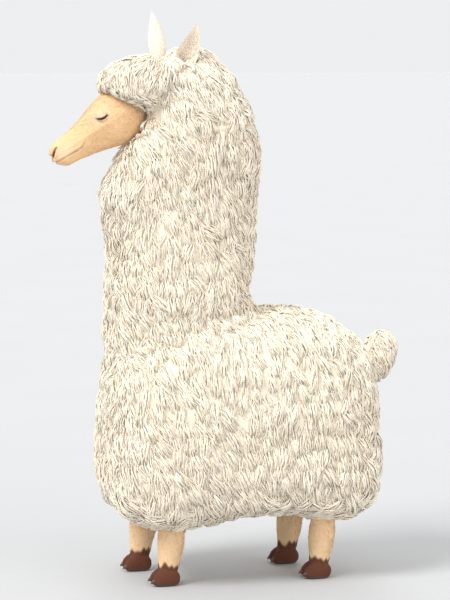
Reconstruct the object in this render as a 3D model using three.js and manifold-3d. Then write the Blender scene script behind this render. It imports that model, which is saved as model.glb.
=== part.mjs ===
// A life-size still model of an adult llama in full fleece, standing square with its neck upright.
// Millimetres. The nose points along -Y, the animal's left side is +X, and Z is up.
// The origin is on the floor, under the middle of the animal.
// Every solid is the outer shape of the coat, out to the tips of the fleece and of the short hair.

import * as THREE from "three";
import { mergeVertices } from "three/addons/utils/BufferGeometryUtils.js";
import Module from "manifold-3d";

const wasm = await Module();
wasm.setup();

// ---------------------------------------------------------------- driving sizes
const BACK_HEIGHT = 870; // top of the fleece over the back
const HEM_HEIGHT = 166; // lower edge of the fleece at the front legs
const TRUNK_FRONT = -413; // chest
const TRUNK_REAR = 482; // rump
const TRUNK_HALF_WIDTH = 285;
const NECK_FRONT = -396; // the neck with its fleece, where it is most even
const NECK_BACK = 84;
const NECK_HALF_WIDTH = 162;
const HEAD_LENGTH = 335; // nose to the back of the skull
const HEAD_DIP = 33; // degrees that the nose points below level
const NOSE = { y: -563, z: 1342 }; // where the head's own axis leaves the nose
const EAR_LENGTH = 178;
const EYE_RADIUS = 18;
const FOOT_TOP = 72; // where the dark foot begins
const LEG_X = 128; // from the midline to the middle of each leg
const LEG_STAGGER = 36; // the right feet stand this far in front of the left ones
const FRONT_LEG_Y = -228; // left front foot
const HIND_LEG_Y = 266; // left hind foot
const CUT = 0.4; // width of the cut between two neighbouring parts
const WAVE = { height: 7, length: 118 }; // the billows of the fleece

// ---------------------------------------------------------------- colours
const finish = (color, roughness) => new THREE.MeshStandardMaterial({ color, roughness, metalness: 0 });
const FLEECE = finish(0xf6e9d4, 0.95);
const FACE_HAIR = finish(0xe9c391, 0.85);
const SHANK_HAIR = finish(0xdcb888, 0.85);
const FOOT_HAIR = finish(0x6b3f2b, 0.8);
const NAIL = finish(0x2e211b, 0.45);
const EYE = finish(0x1b120e, 0.1);

// ---------------------------------------------------------------- shaping tools
const { PI, abs, cos, max, min, sign, sin } = Math;

// A smooth curve through stations: along([place, ...], [value, ...]) gives value as a function of place.
function along(places, values) {
  const track = new THREE.CubicInterpolant(places, values, 1, new Float32Array(1));
  return (place) => track.evaluate(place)[0];
}

// A point on a circle that is squared off: power 2 is round, and a higher power is boxier.
function squared(angle, power) {
  const c = cos(angle);
  const s = sin(angle);
  const reach = (abs(c) ** power + abs(s) ** power) ** (-1 / power);
  return [c * reach, s * reach];
}

// A closed shape made from a ball: place(share, angle) puts each of its points.
// share runs from 0 at one pole to 1 at the other, and angle once around.
function shapedBall(columns, rows, place) {
  const ball = new THREE.SphereGeometry(1, columns, rows);
  const { position, uv } = ball.attributes;
  for (let i = 0; i < position.count; i++) {
    const turn = uv.getX(i) === 1 ? 0 : uv.getX(i) * 2 * PI;
    const share = 1 - uv.getY(i);
    const p = place(share, turn);
    position.setXYZ(i, ...p);
  }
  return solid(ball);
}

// A three.js geometry as a manifold-3d solid.
function solid(geometry) {
  const bare = geometry.index ? geometry.toNonIndexed() : geometry.clone();
  bare.deleteAttribute("normal");
  bare.deleteAttribute("uv");
  const merged = mergeVertices(bare, 1e-3);
  const vertProperties = merged.attributes.position.array;
  const triVerts = new Uint32Array(merged.index.array);
  const made = new wasm.Manifold(new wasm.Mesh({ numProp: 3, vertProperties, triVerts }));
  if (made.volume() > 0) return made;
  for (let i = 0; i < triVerts.length; i += 3) triVerts.subarray(i, i + 2).reverse();
  return new wasm.Manifold(new wasm.Mesh({ numProp: 3, vertProperties, triVerts }));
}

// An ellipsoid at a centre, with a radius along each axis.
function ellipsoid(centre, radii, columns = 20, rows = 12) {
  const ball = new THREE.SphereGeometry(1, columns, rows);
  ball.scale(...radii);
  ball.translate(...centre);
  return solid(ball);
}

// Everything on the side of a plane that its normal points to, as a large box. gap moves the face away.
const FAR = 3000;
function beyond(point, normal, gap = CUT / 2) {
  const box = new THREE.BoxGeometry(FAR, FAR, FAR);
  box.translate(0, 0, FAR / 2 + gap);
  const turn = new THREE.Quaternion().setFromUnitVectors(
    new THREE.Vector3(0, 0, 1),
    new THREE.Vector3(...normal).normalize(),
  );
  box.applyQuaternion(turn);
  box.translate(...point);
  return solid(box);
}

const opposite = (normal) => normal.map((n) => -n);

// Fleece lies in rounded billows: how far the surface swells at a point.
function billow(x, y, z) {
  const k = (2 * PI) / WAVE.length;
  return WAVE.height * sin(k * (y + 0.35 * z)) * sin(k * (z - 0.3 * y)) * cos(0.8 * k * x);
}

// ---------------------------------------------------------------- trunk
// The barrel of the body with its fleece, blunt at chest and rump, hanging to an arched hem.
const TRUNK_MIDDLE = (TRUNK_FRONT + TRUNK_REAR) / 2;
const TRUNK_HALF_LENGTH = (TRUNK_REAR - TRUNK_FRONT) / 2;
const TRUNK_CENTRE_Z = 520;
const HEM_ARCH = 46; // the hem rises this much between front and hind legs
const HEM_ARCH_Y = 90; // the top of that arch
const SIDE_HANG = 40; // the fleece of the sides reaches down this much further, before it rounds off
const HEM_SCALLOP = 7;

const topLine = along(
  [TRUNK_FRONT, -150, 60, 260, TRUNK_REAR],
  [BACK_HEIGHT - 30, BACK_HEIGHT, BACK_HEIGHT - 8, BACK_HEIGHT, BACK_HEIGHT - 40],
);

function trunkPoint(share, turn) {
  const [side, up] = squared(turn, turn < PI ? 2.7 : 4); // boxier below
  const blunt = up > 0 ? 3.4 : 3.4 + 1.8 * min(1, -1.5 * up); // the hem's corners are the squarest
  const [back, ring] = squared(PI * (1 - share), blunt);
  const y = TRUNK_MIDDLE + TRUNK_HALF_LENGTH * back;
  const lower = max(0, -up);
  const hang = 1 + 0.05 * lower; // the fleece widens a little as it hangs
  const x = TRUNK_HALF_WIDTH * ring * side * hang;
  const arch = HEM_ARCH * cos((PI / 2) * min(1, abs(y - HEM_ARCH_Y) / 330)) ** 2;
  const hem = HEM_HEIGHT + arch - SIDE_HANG * side * side + HEM_SCALLOP * cos(turn * 19);
  const z = up > 0
    ? TRUNK_CENTRE_Z + (topLine(y) - TRUNK_CENTRE_Z) * ring * up
    : TRUNK_CENTRE_Z + (TRUNK_CENTRE_Z - hem) * ring * up;
  const swell = billow(x, y, z) * min(1, 2 * ring);
  const out = new THREE.Vector3(side, back * 0.8, up).normalize();
  out.multiplyScalar(swell * (1 - 0.6 * lower));
  return [x + out.x, y + out.y, z + out.z];
}

const trunkWhole = shapedBall(26, 17, trunkPoint);

// ---------------------------------------------------------------- neck
// A thick upright column of fleece that flares into the shoulders, swells at the throat and arches
// far out behind the head. Its front and back lines are given as steps from the even stretch.
const NECK_LOW = 560;
const NECK_HIGH = 1690;
const NECK_STATIONS = [NECK_LOW, 760, 900, 1100, 1190, 1250, 1310, 1370, 1450, 1550, 1620, NECK_HIGH];
const neckFront = along(
  NECK_STATIONS,
  [-10, -22, -8, -2, -34, -22, 12, 54, 106, 132, 142, 152].map((step) => NECK_FRONT + step),
);
const neckBack = along(
  NECK_STATIONS,
  [-60, -26, -8, 10, 22, 27, 28, 28, 18, -20, -50, -98].map((step) => NECK_BACK + step),
);
const neckWidth = along(
  [NECK_LOW, 900, 1000, 1100, 1300, 1450, NECK_HIGH],
  [0.9, 1.3, 1.14, 1.02, 0.97, 0.93, 0.74].map((s) => s * NECK_HALF_WIDTH),
);

function neckPoint(share, turn) {
  const [rise, ring] = squared(PI * (1 - share), 4);
  const [side, back] = squared(turn, 2.25);
  const z = (NECK_LOW + NECK_HIGH) / 2 + ((NECK_HIGH - NECK_LOW) / 2) * rise;
  const x = neckWidth(z) * ring * side;
  const middle = (neckFront(z) + neckBack(z)) / 2;
  const y = middle + ((neckBack(z) - neckFront(z)) / 2) * ring * back;
  const swell = billow(x, y, z) * min(1, 2 * ring);
  return [x + side * swell, y + back * swell, z];
}

const neckWhole = shapedBall(20, 16, neckPoint);

// ---------------------------------------------------------------- topknot
// The woolly cap between and around the ears. It overhangs the forehead as a fringe.
const TOPKNOT = { centre: [0, -238, 1573], radii: [122, 180, 95] };

function topknotPoint(share, turn) {
  const [back, ring] = squared(PI * (1 - share), 2.2);
  const [side, up] = squared(turn, 2.2);
  const lump = 1 + 0.045 * sin(7 * turn) * sin(5 * PI * share);
  const [rx, ry, rz] = TOPKNOT.radii;
  const [cx, cy, cz] = TOPKNOT.centre;
  return [cx + rx * ring * side * lump, cy + ry * back, cz + rz * ring * up * lump];
}

const topknotWhole = shapedBall(15, 9, topknotPoint);

// ---------------------------------------------------------------- head
// The bare-faced head, made level with its nose at the origin, then dipped and moved into place.
const FACE_STATIONS = [0, 20, 50, 95, 145, 195, 240, 290, 335];
const faceTop = along(FACE_STATIONS, [33, 40, 45, 50, 60, 76, 84, 80, 60]);
const faceBottom = along(FACE_STATIONS, [-41, -50, -57, -62, -71, -87, -98, -92, -62]);
const faceWidth = along(FACE_STATIONS, [33, 40, 42, 43, 52, 65, 68, 62, 46]);
const FACE_SQUARE = 2.3;
const FACE_BLUNT = 5.5;

// A point of the head's surface, `grow` mm proud of it.
function facePoint(share, turn, grow) {
  const [back, ring] = squared(PI * (1 - share), FACE_BLUNT);
  const at = (HEAD_LENGTH / 2) * (1 + back);
  const [side, up] = squared(turn, FACE_SQUARE);
  const reach = up > 0 ? faceTop(at) : -faceBottom(at);
  const narrower = 1 - 0.16 * max(0, up) - 0.1 * max(0, -up);
  const x = (faceWidth(at) * narrower * ring + grow * ring) * side;
  return [x, at + grow * back, (reach * ring + grow * ring) * up];
}

// From the head's own place to where the head is carried.
function carried(shape) {
  return shape.rotate([HEAD_DIP, 0, 0]).translate([0, NOSE.y, NOSE.z]);
}

const headShape = (grow, columns = 18, rows = 16) =>
  shapedBall(columns, rows, (share, turn) => facePoint(share, turn, grow));
const EYE_PLACE = { x: 47, back: 197, up: 31 };
const eyeShape = (side, grow) =>
  ellipsoid(
    [side * EYE_PLACE.x, EYE_PLACE.back, EYE_PLACE.up],
    [EYE_RADIUS + grow, EYE_RADIUS + grow, EYE_RADIUS * 0.92 + grow],
    10,
    6,
  );

const NOSTRIL = { x: 25, back: 10, up: 14, radii: [6, 9, 5] };
const nostril = (side) => ellipsoid([side * NOSTRIL.x, NOSTRIL.back, NOSTRIL.up], NOSTRIL.radii, 8, 6);

// The mouth is closed: its slit and the jaw's rear edge are thin cuts.
const MOUTH = { front: -20, slope: -0.06, corner: 118, lean: 0.55 };
const belowMouth = (gap) => beyond([0, 0, MOUTH.front], [0, MOUTH.slope, -1], gap);
const aheadOfCorner = (gap) => beyond([0, MOUTH.corner, MOUTH.front], [0, -1, MOUTH.lean], gap);

let skull = headShape(0, 18, 15);
for (const side of [-1, 1]) {
  skull = skull.subtract(eyeShape(side, CUT)).subtract(nostril(side));
}
const jawLevel = skull.intersect(belowMouth(CUT / 2)).intersect(aheadOfCorner(CUT / 2));
const headLevel = skull.subtract(belowMouth(-CUT / 2).intersect(aheadOfCorner(-CUT / 2)));
// The space that the fleece leaves for the head and eyes.
const HEAD_ROOM = 5; // the fleece stands this far off the short hair of the head
const headRoom = carried(
  wasm.Manifold.union([headShape(HEAD_ROOM, 14, 12), eyeShape(1, CUT), eyeShape(-1, CUT)]),
);

// ---------------------------------------------------------------- ears
// Each ear is a cupped leaf, open to the front, its tip curved inward.
const EAR_HALF_WIDTH = along([0, 0.15, 0.4, 0.7, 0.9, 1], [23, 31, 38, 29, 15, 6]);
const EAR_CUP = along([0, 0.3, 0.7, 1], [24, 23, 14, 5]);
const EAR_THICK = along([0, 0.3, 1], [9, 6, 4]);
const EAR_CURL = 26; // how far the tip bends inward
const EAR_ROOM = 1.5; // the fleece stands this far off the ear's root

// With grow, the shape is the room that the fleece leaves for the ear, and its cup is filled.
function earPoint(share, turn, side, grow) {
  const [rise, ring] = squared(PI * (1 - share), 3.2);
  const up = (1 + rise) / 2;
  const across = cos(turn) * ring;
  const filled = grow > 0 && turn > PI;
  const bow = filled ? 0 : EAR_CUP(up) * ring * (1 - cos(turn) ** 2);
  const thick = (EAR_THICK(up) + grow) * ring * sin(turn);
  const curl = EAR_CURL * up * up * up;
  return [
    (EAR_HALF_WIDTH(up) + grow) * across - side * curl,
    bow + thick,
    EAR_LENGTH * up + grow * rise,
  ];
}

// back: degrees the ear tips backward. out: degrees it leans outward.
// face: degrees its opening turns outward from facing forward.
function ear(side, { x, y, z, back, out, face }, grow) {
  return shapedBall(12, 9, (share, turn) => earPoint(share, turn, side, grow))
    .rotate([0, 0, side * face])
    .rotate([-back, side * out, 0])
    .translate([side * x, y, z]);
}

const EARS = {
  left: { x: 54, y: -180, z: 1594, back: 28, out: 15, face: 62 },
  right: { x: 46, y: -215, z: 1622, back: 3, out: 12, face: 62 },
};

// ---------------------------------------------------------------- legs and feet
// Below the hem each leg is a slim shank in short hair, with a fetlock, a pastern and a foot of two toes.
const SHANK_HEIGHTS = [40, 70, 110, 145, 200, 300, 400];
const shankWidth = along(SHANK_HEIGHTS, [34, 35, 39, 41, 36, 38, 46]);
const shankDepth = along(SHANK_HEIGHTS, [37, 39, 43, 47, 42, 46, 57]);
const SHANK_LOW = 30;
const SHANK_HIGH = 400;
// How far the leg's middle lies behind the middle of its foot, at each height.
const frontLegLine = along([30, 70, 140, 260, 400], [3, 7, 14, 14, 14]);
const hindLegLine = along([30, 70, 140, 260, 400], [3, 7, 13, 24, 44]);

function shank(leg) {
  return shapedBall(12, 10, (share, turn) => {
    const [rise, ring] = squared(PI * (1 - share), 5);
    const z = (SHANK_LOW + SHANK_HIGH) / 2 + ((SHANK_HIGH - SHANK_LOW) / 2) * rise;
    const [side, back] = squared(turn, 2.1);
    return [leg.x + shankWidth(z) * ring * side, leg.y + leg.line(z) + shankDepth(z) * ring * back, z];
  });
}

const TOE = { spread: 19, ahead: 5, radii: [20.5, 48, 33], height: 24, splay: 5 };
const NAIL_SIZE = { radii: [11.5, 17, 13], forward: 39, height: 17 };
const NAIL_CLEAR = 3; // the nails stay off the floor by this much

function toe(leg, side) {
  const [rx, ry, rz] = TOE.radii;
  return ellipsoid([0, 0, TOE.height], [rx, ry, rz], 10, 6)
    .rotate([0, 0, side * TOE.splay])
    .translate([leg.x + side * TOE.spread, leg.y - TOE.ahead, 0]);
}

function nail(leg, side, grow) {
  const [rx, ry, rz] = NAIL_SIZE.radii;
  return ellipsoid([0, -NAIL_SIZE.forward, NAIL_SIZE.height], [rx + grow, ry + grow, rz + grow], 8, 5)
    .rotate([0, 0, side * TOE.splay])
    .translate([leg.x + side * TOE.spread, leg.y - TOE.ahead, 0])
    .subtract(beyond([0, 0, grow > 0 ? -FAR : NAIL_CLEAR], [0, 0, -1], 0));
}

const LEGS = {
  front_left: { x: LEG_X, y: FRONT_LEG_Y, line: frontLegLine },
  front_right: { x: -LEG_X, y: FRONT_LEG_Y - LEG_STAGGER, line: frontLegLine },
  hind_left: { x: LEG_X, y: HIND_LEG_Y, line: hindLegLine },
  hind_right: { x: -LEG_X, y: HIND_LEG_Y - LEG_STAGGER, line: hindLegLine },
};

// The woolly upper part of each leg is parted from the trunk along an ellipsoid that reaches outside it.
const HAUNCH = { out: 78, height: 250, radii: [168, 142, 320] };

function haunch(leg, grow) {
  const [rx, ry, rz] = HAUNCH.radii;
  const outside = sign(leg.x) * HAUNCH.out;
  const back = leg.line(SHANK_HIGH) * 0.6;
  const centre = [leg.x + outside, leg.y + back, HAUNCH.height];
  return ellipsoid(centre, [rx + grow, ry + grow, rz + grow], 14, 9);
}

// ---------------------------------------------------------------- tail
// A short woolly tail, carried up and away from the rump.
const TAIL = { centre: [0, 506, 692], radii: [64, 62, 92], lean: -14 };

function tailPoint(share, turn) {
  const [rise, ring] = squared(PI * (1 - share), 2.2);
  const [side, back] = squared(turn, 2);
  const lump = 1 + 0.05 * sin(6 * turn) * sin(5 * PI * share);
  const [rx, ry, rz] = TAIL.radii;
  return [rx * ring * side * lump, ry * ring * back * lump, rz * rise];
}

const tailShape = shapedBall(14, 9, tailPoint).rotate([TAIL.lean, 0, 0]).translate(TAIL.centre);

// ---------------------------------------------------------------- parting the fleece
const fleece = wasm.Manifold.union([trunkWhole, neckWhole, topknotWhole])
  .subtract(headRoom)
  .subtract(ear(1, EARS.left, EAR_ROOM))
  .subtract(ear(-1, EARS.right, EAR_ROOM));

const NECK_CUT = { point: [0, 72, 872], normal: [0, -0.3, 1] }; // from the withers down to the chest
const NAPE_CUT = { point: [0, -218, 1492], normal: [0, 0.28, 1] }; // from the nape to behind the cheeks
const TAIL_CUT = { point: [0, 470, 710], normal: [0, 1, 0.1] }; // where the tail leaves the rump

const llama = new THREE.Group();

function add(name, shape, material) {
  const { numProp, vertProperties, triVerts } = shape.getMesh();
  const count = vertProperties.length / numProp;
  const points = new Float32Array(count * 3);
  for (let i = 0; i < count; i++) {
    points.set(vertProperties.subarray(i * numProp, i * numProp + 3), i * 3);
  }
  const geometry = new THREE.BufferGeometry();
  geometry.setAttribute("position", new THREE.BufferAttribute(points, 3));
  geometry.setIndex(new THREE.BufferAttribute(triVerts, 1));
  geometry.computeVertexNormals();
  const mesh = new THREE.Mesh(geometry, material);
  mesh.name = name;
  llama.add(mesh);
}

const aboveNeckCut = (gap) => beyond(NECK_CUT.point, NECK_CUT.normal, gap);
const belowNeckCut = (gap) => beyond(NECK_CUT.point, opposite(NECK_CUT.normal), gap);
const aboveNapeCut = (gap) => beyond(NAPE_CUT.point, NAPE_CUT.normal, gap);
const belowNapeCut = (gap) => beyond(NAPE_CUT.point, opposite(NAPE_CUT.normal), gap);

let trunk = fleece.intersect(belowNeckCut());
const neck = fleece.intersect(aboveNeckCut()).intersect(belowNapeCut());
const topknot = fleece.intersect(aboveNapeCut());
const tail = tailShape.intersect(beyond(TAIL_CUT.point, TAIL_CUT.normal));
trunk = trunk.subtract(beyond(TAIL_CUT.point, TAIL_CUT.normal, -CUT / 2).intersect(tailShape));

for (const [name, leg] of Object.entries(LEGS)) {
  const wool = fleece.intersect(belowNeckCut()).intersect(haunch(leg, 0));
  const aboveFoot = beyond([0, 0, FOOT_TOP], [0, 0, 1]);
  const underFoot = beyond([0, 0, FOOT_TOP], [0, 0, -1]);
  const onFloor = beyond([0, 0, 0], [0, 0, 1], 0);
  add("leg_" + name, wool.add(shank(leg)).intersect(aboveFoot), SHANK_HAIR);
  let foot = wasm.Manifold.union([shank(leg), toe(leg, -1), toe(leg, 1)])
    .intersect(underFoot)
    .intersect(onFloor);
  for (const [place, side] of [["inner", -sign(leg.x)], ["outer", sign(leg.x)]]) {
    foot = foot.subtract(nail(leg, side, CUT));
    add("nail_" + name + "_" + place, nail(leg, side, 0), NAIL);
  }
  add("foot_" + name, foot, FOOT_HAIR);
  trunk = trunk.subtract(haunch(leg, CUT));
}

add("trunk", trunk, FLEECE);
add("neck", neck, FLEECE);
add("topknot", topknot, FLEECE);
add("tail", tail, FLEECE);
add("head", carried(headLevel), FACE_HAIR);
add("jaw", carried(jawLevel), FACE_HAIR);
add("ear_left", ear(1, EARS.left, 0), FLEECE);
add("ear_right", ear(-1, EARS.right, 0), FLEECE);
add("eye_left", carried(eyeShape(1, 0)), EYE);
add("eye_right", carried(eyeShape(-1, 0)), EYE);

export default llama;
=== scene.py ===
# A llama in full fleece, life size, standing still: its skin, eyes, lashes, nails, fleece and short hair,
# built in the CAD frame. Metres. The nose points along -Y, the left side is +X and Z is up.
import itertools
import math

import bmesh
import bpy
import numpy as np
from mathutils import Euler, Matrix, Vector
from mathutils.bvhtree import BVHTree
from mathutils.kdtree import KDTree


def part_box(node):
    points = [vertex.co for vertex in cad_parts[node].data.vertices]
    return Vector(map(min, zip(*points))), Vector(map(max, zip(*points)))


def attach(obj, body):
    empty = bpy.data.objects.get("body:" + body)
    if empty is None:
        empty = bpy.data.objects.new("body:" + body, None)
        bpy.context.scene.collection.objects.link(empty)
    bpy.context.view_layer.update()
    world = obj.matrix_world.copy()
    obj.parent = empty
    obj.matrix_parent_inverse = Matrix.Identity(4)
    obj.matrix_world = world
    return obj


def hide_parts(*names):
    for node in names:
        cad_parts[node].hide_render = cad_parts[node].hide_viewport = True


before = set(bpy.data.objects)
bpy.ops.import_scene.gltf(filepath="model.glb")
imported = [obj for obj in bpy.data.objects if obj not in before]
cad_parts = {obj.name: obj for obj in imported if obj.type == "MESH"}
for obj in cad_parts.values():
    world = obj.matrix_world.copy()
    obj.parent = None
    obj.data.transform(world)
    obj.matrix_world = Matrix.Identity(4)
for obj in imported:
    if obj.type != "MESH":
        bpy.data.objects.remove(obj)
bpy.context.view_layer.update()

# ---------------------------------------------------------------- body under the fleece
# The barrel, neck, crown and tail of flesh that the fleece grows on. Each is a plain rounded mass,
# as far inside the outline as the fleece is deep there, and all are melted into one closed surface.
BODY_GRAIN, BODY_ROUNDS = 0.013, 10  # size of the cells when masses are melted together, and smoothings
TRUNK_MASS = {"centre": (0, 0.034, 0.556), "radii": (0.236, 0.400, 0.268), "square": (2.6, 3.5)}
CROWN_MASS = {"centre": (0, -0.262, 1.560), "radii": (0.078, 0.128, 0.062), "square": (2.2, 2.2)}
DOCK_MASS = {"centre": (0, 0.452, 0.706), "radii": (0.024, 0.062, 0.024), "square": (2, 2)}
TAIL_MASS = {"centre": (0, 0.502, 0.684), "radii": (0.024, 0.024, 0.062), "square": (2, 2)}
LIMB_MASSES = (  # shoulders and thighs, with the left ones' centres
    {"centre": (0.118, -0.236, 0.430), "radii": (0.098, 0.090, 0.150), "square": (2.2, 2.2)},
    {"centre": (0.122, 0.296, 0.420), "radii": (0.096, 0.090, 0.155), "square": (2.2, 2.2)},
)
EAR_ROOT_MASSES = (
    {"centre": (0.052, -0.184, 1.590), "radii": (0.027, 0.030, 0.034), "square": (2, 2)},
    {"centre": (-0.046, -0.217, 1.608), "radii": (0.026, 0.028, 0.036), "square": (2, 2)},
)
NECK_HEIGHTS = (0.64, 0.84, 1.05, 1.25, 1.38, 1.48, 1.59)
NECK_MIDDLE = (-0.190, -0.176, -0.172, -0.168, -0.174, -0.166, -0.170)
NECK_HALF_DEPTH = (0.140, 0.162, 0.160, 0.150, 0.124, 0.096, 0.056)
NECK_HALF_WIDTH = (0.140, 0.154, 0.118, 0.102, 0.086, 0.074, 0.044)
NECK_SQUARE = (2.2, 4)  # across and along, as for the masses


def smooth_track(places, values):
    """A smooth curve through stations: gives the value at any place, or at an array of places."""
    places = np.array(places, float)
    values = np.array(values, float)
    slopes = np.gradient(values, places)

    def at(place):
        place = np.clip(place, places[0], places[-1])
        i = np.clip(np.searchsorted(places, place) - 1, 0, len(places) - 2)
        step = places[i + 1] - places[i]
        t = (place - places[i]) / step
        rise = values[i + 1] - values[i]
        bend = t * (1 - t) * ((1 - t) * (slopes[i] * step - rise) - t * (slopes[i + 1] * step - rise))
        return values[i] + t * rise + bend

    return at


def squared(angle, power):
    """Points of a circle that is squared off: power 2 is round, and a higher power is boxier."""
    c, s = np.cos(angle), np.sin(angle)
    reach = (np.abs(c) ** power + np.abs(s) ** power) ** (-1 / power)
    return c * reach, s * reach


def mesh_piece(name, points, faces, smooth=True):
    """A new mesh object from points and faces."""
    mesh = bpy.data.meshes.new(name)
    mesh.from_pydata([tuple(p) for p in points], [], [tuple(f) for f in faces])
    mesh.polygons.foreach_set("use_smooth", [smooth] * len(mesh.polygons))
    piece = bpy.data.objects.new(name, mesh)
    bpy.context.scene.collection.objects.link(piece)
    return piece


def closed_ball(name, columns, shares, place):
    """A closed shape made from a ball. place(share, turn) gives its points: share runs from 0 at one
    pole to 1 at the other, and turn is the angle around. shares are its rings' places, or their number."""
    if isinstance(shares, int):
        shares = np.linspace(0, 1, shares)
    turns = np.arange(columns) * 2 * math.pi / columns
    inner = np.array(shares)[1:-1]
    share, turn = np.meshgrid(inner, turns, indexing="ij")
    rings = np.stack(place(share.ravel(), turn.ravel()), axis=1)
    poles = np.stack(place(np.array([0.0, 1.0]), np.zeros(2)), axis=1)
    points = np.concatenate([rings, poles])
    first_pole, last_pole = len(rings), len(rings) + 1
    faces = []
    for j in range(columns):
        k = (j + 1) % columns
        faces.append((first_pole, k, j))
        faces.append((last_pole, len(rings) - columns + j, len(rings) - columns + k))
    for i in range(len(inner) - 1):
        for j in range(columns):
            k = (j + 1) % columns
            faces.append((i * columns + j, i * columns + k, (i + 1) * columns + k, (i + 1) * columns + j))
    piece = mesh_piece(name, points, faces)
    work = bmesh.new()
    work.from_mesh(piece.data)
    if work.calc_volume(signed=True) < 0:
        bmesh.ops.reverse_faces(work, faces=work.faces[:])
    work.to_mesh(piece.data)
    work.free()
    return piece


def mass(name, centre, radii, square):
    """A rounded mass: an ellipsoid squared off across and along."""
    def place(share, turn):
        back, ring = squared(np.pi * (1 - share), square[1])
        side, up = squared(turn, square[0])
        return (centre[0] + radii[0] * ring * side, centre[1] + radii[1] * back,
                centre[2] + radii[2] * ring * up)

    return closed_ball(name, 48, 33, place)


def neck_mass():
    """The neck, swept up from the shoulders to the nape."""
    middle = smooth_track(NECK_HEIGHTS, NECK_MIDDLE)
    depth = smooth_track(NECK_HEIGHTS, NECK_HALF_DEPTH)
    width = smooth_track(NECK_HEIGHTS, NECK_HALF_WIDTH)
    low, high = NECK_HEIGHTS[0], NECK_HEIGHTS[-1]

    def place(share, turn):
        rise, ring = squared(np.pi * (1 - share), NECK_SQUARE[1])
        side, back = squared(turn, NECK_SQUARE[0])
        z = (low + high) / 2 + (high - low) / 2 * rise
        return width(z) * ring * side, middle(z) + depth(z) * ring * back, z

    return closed_ball("neck_mass", 40, 49, place)


def apply_modifiers(piece):
    """Makes what the modifiers show the piece's own mesh."""
    seen = piece.evaluated_get(bpy.context.evaluated_depsgraph_get())
    made = bpy.data.meshes.new_from_object(seen)
    piece.modifiers.clear()
    piece.data = made
    return piece


def merged(name, pieces):
    """One mesh object that holds all the pieces' meshes. The pieces are used up."""
    work = bmesh.new()
    for piece in pieces:
        work.from_mesh(piece.data)
        bpy.data.objects.remove(piece)
    mesh = bpy.data.meshes.new(name)
    work.to_mesh(mesh)
    work.free()
    made = bpy.data.objects.new(name, mesh)
    bpy.context.scene.collection.objects.link(made)
    return made


def melted(name, pieces, grain, rounds):
    """The pieces as one closed surface, of cells of the grain's size, smoothed by rounds."""
    made = merged(name, pieces)
    remesh = made.modifiers.new("melt", "REMESH")
    remesh.mode = "VOXEL"
    remesh.voxel_size = grain
    soften = made.modifiers.new("soften", "SMOOTH")
    soften.factor = 0.5
    soften.iterations = rounds
    return apply_modifiers(made)


body = melted("body", [
    mass("trunk_mass", **TRUNK_MASS),
    neck_mass(),
    mass("crown_mass", **CROWN_MASS),
    mass("dock_mass", **DOCK_MASS),
    mass("tail_mass", **TAIL_MASS),
] + [mass("ear_root_mass", **ear_root) for ear_root in EAR_ROOT_MASSES] + [
    mass("limb_mass", (hand * limb["centre"][0], *limb["centre"][1:]), limb["radii"], limb["square"])
    for limb in LIMB_MASSES for hand in (-1, 1)
], BODY_GRAIN, BODY_ROUNDS)

# ---------------------------------------------------------------- legs and feet
# Slim shanks in short hair: bone in front, tendon behind, a knuckled fetlock, and a foot of two toes
# on leathery pads. Front and hind legs differ in how the shank stands over the foot.
LEG_X = 0.128
LEG_FEET = {  # middle of each foot along Y
    "front_left": -0.228,
    "front_right": -0.264,
    "hind_left": 0.266,
    "hind_right": 0.230,
}
LEG_GRAIN, LEG_ROUNDS = 0.0042, 3
SHANK_HEIGHTS = (0.022, 0.05, 0.08, 0.11, 0.145, 0.20, 0.30, 0.43)
SHANK_HALF_WIDTH = (0.026, 0.030, 0.0315, 0.0355, 0.0370, 0.0315, 0.0335, 0.042)
SHANK_HALF_DEPTH = (0.028, 0.0335, 0.0355, 0.0400, 0.0425, 0.0375, 0.0410, 0.052)
FRONT_SHANK_BACK = (0.0015, 0.0045, 0.008, 0.0115, 0.014, 0.014, 0.014, 0.014)
HIND_SHANK_BACK = (0.0015, 0.0045, 0.0075, 0.0105, 0.0132, 0.018, 0.029, 0.047)
SHANK_SQUARE = (2.1, 7)
SHANK_TAPER = 0.16  # how much narrower a shank is behind than in front
TENDON = {  # the groove on each side between the bone and the tendon, and the height where it starts
    "dent": 0.0045, "behind": 0.35, "width": 0.3, "from": 0.13, "fade": 0.05,
}
TOE = {  # its place, half sizes and form. The splay is in degrees
    "spread": 0.0185, "ahead": 0.005, "radii": (0.0185, 0.045, 0.0305), "height": 0.0235, "splay": 5,
    "square": (2.3, 2.4), "droop": 0.28, "taper": 0.22, "sole": 0.0008,
}


def gaussian(distance, width):
    return np.exp(-(distance / width) ** 2)


def shank(back_of_foot):
    """One shank about a foot at the origin, leaning back as back_of_foot says."""
    width = smooth_track(SHANK_HEIGHTS, SHANK_HALF_WIDTH)
    depth = smooth_track(SHANK_HEIGHTS, SHANK_HALF_DEPTH)
    behind = smooth_track(SHANK_HEIGHTS, back_of_foot)
    low, high = SHANK_HEIGHTS[0], SHANK_HEIGHTS[-1]

    def place(share, turn):
        rise, ring = squared(np.pi * (1 - share), SHANK_SQUARE[1])
        side, back = squared(turn, SHANK_SQUARE[0])
        z = (low + high) / 2 + (high - low) / 2 * rise
        tendon = gaussian(back - TENDON["behind"], TENDON["width"])
        tendon = tendon * np.clip((z - TENDON["from"]) / TENDON["fade"], 0, 1)
        narrow = (1 - SHANK_TAPER * np.clip(back, 0, 1)) * width(z) - TENDON["dent"] * tendon
        return narrow * ring * side, behind(z) + depth(z) * ring * back, z

    return closed_ball("shank", 40, 90, place)


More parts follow.
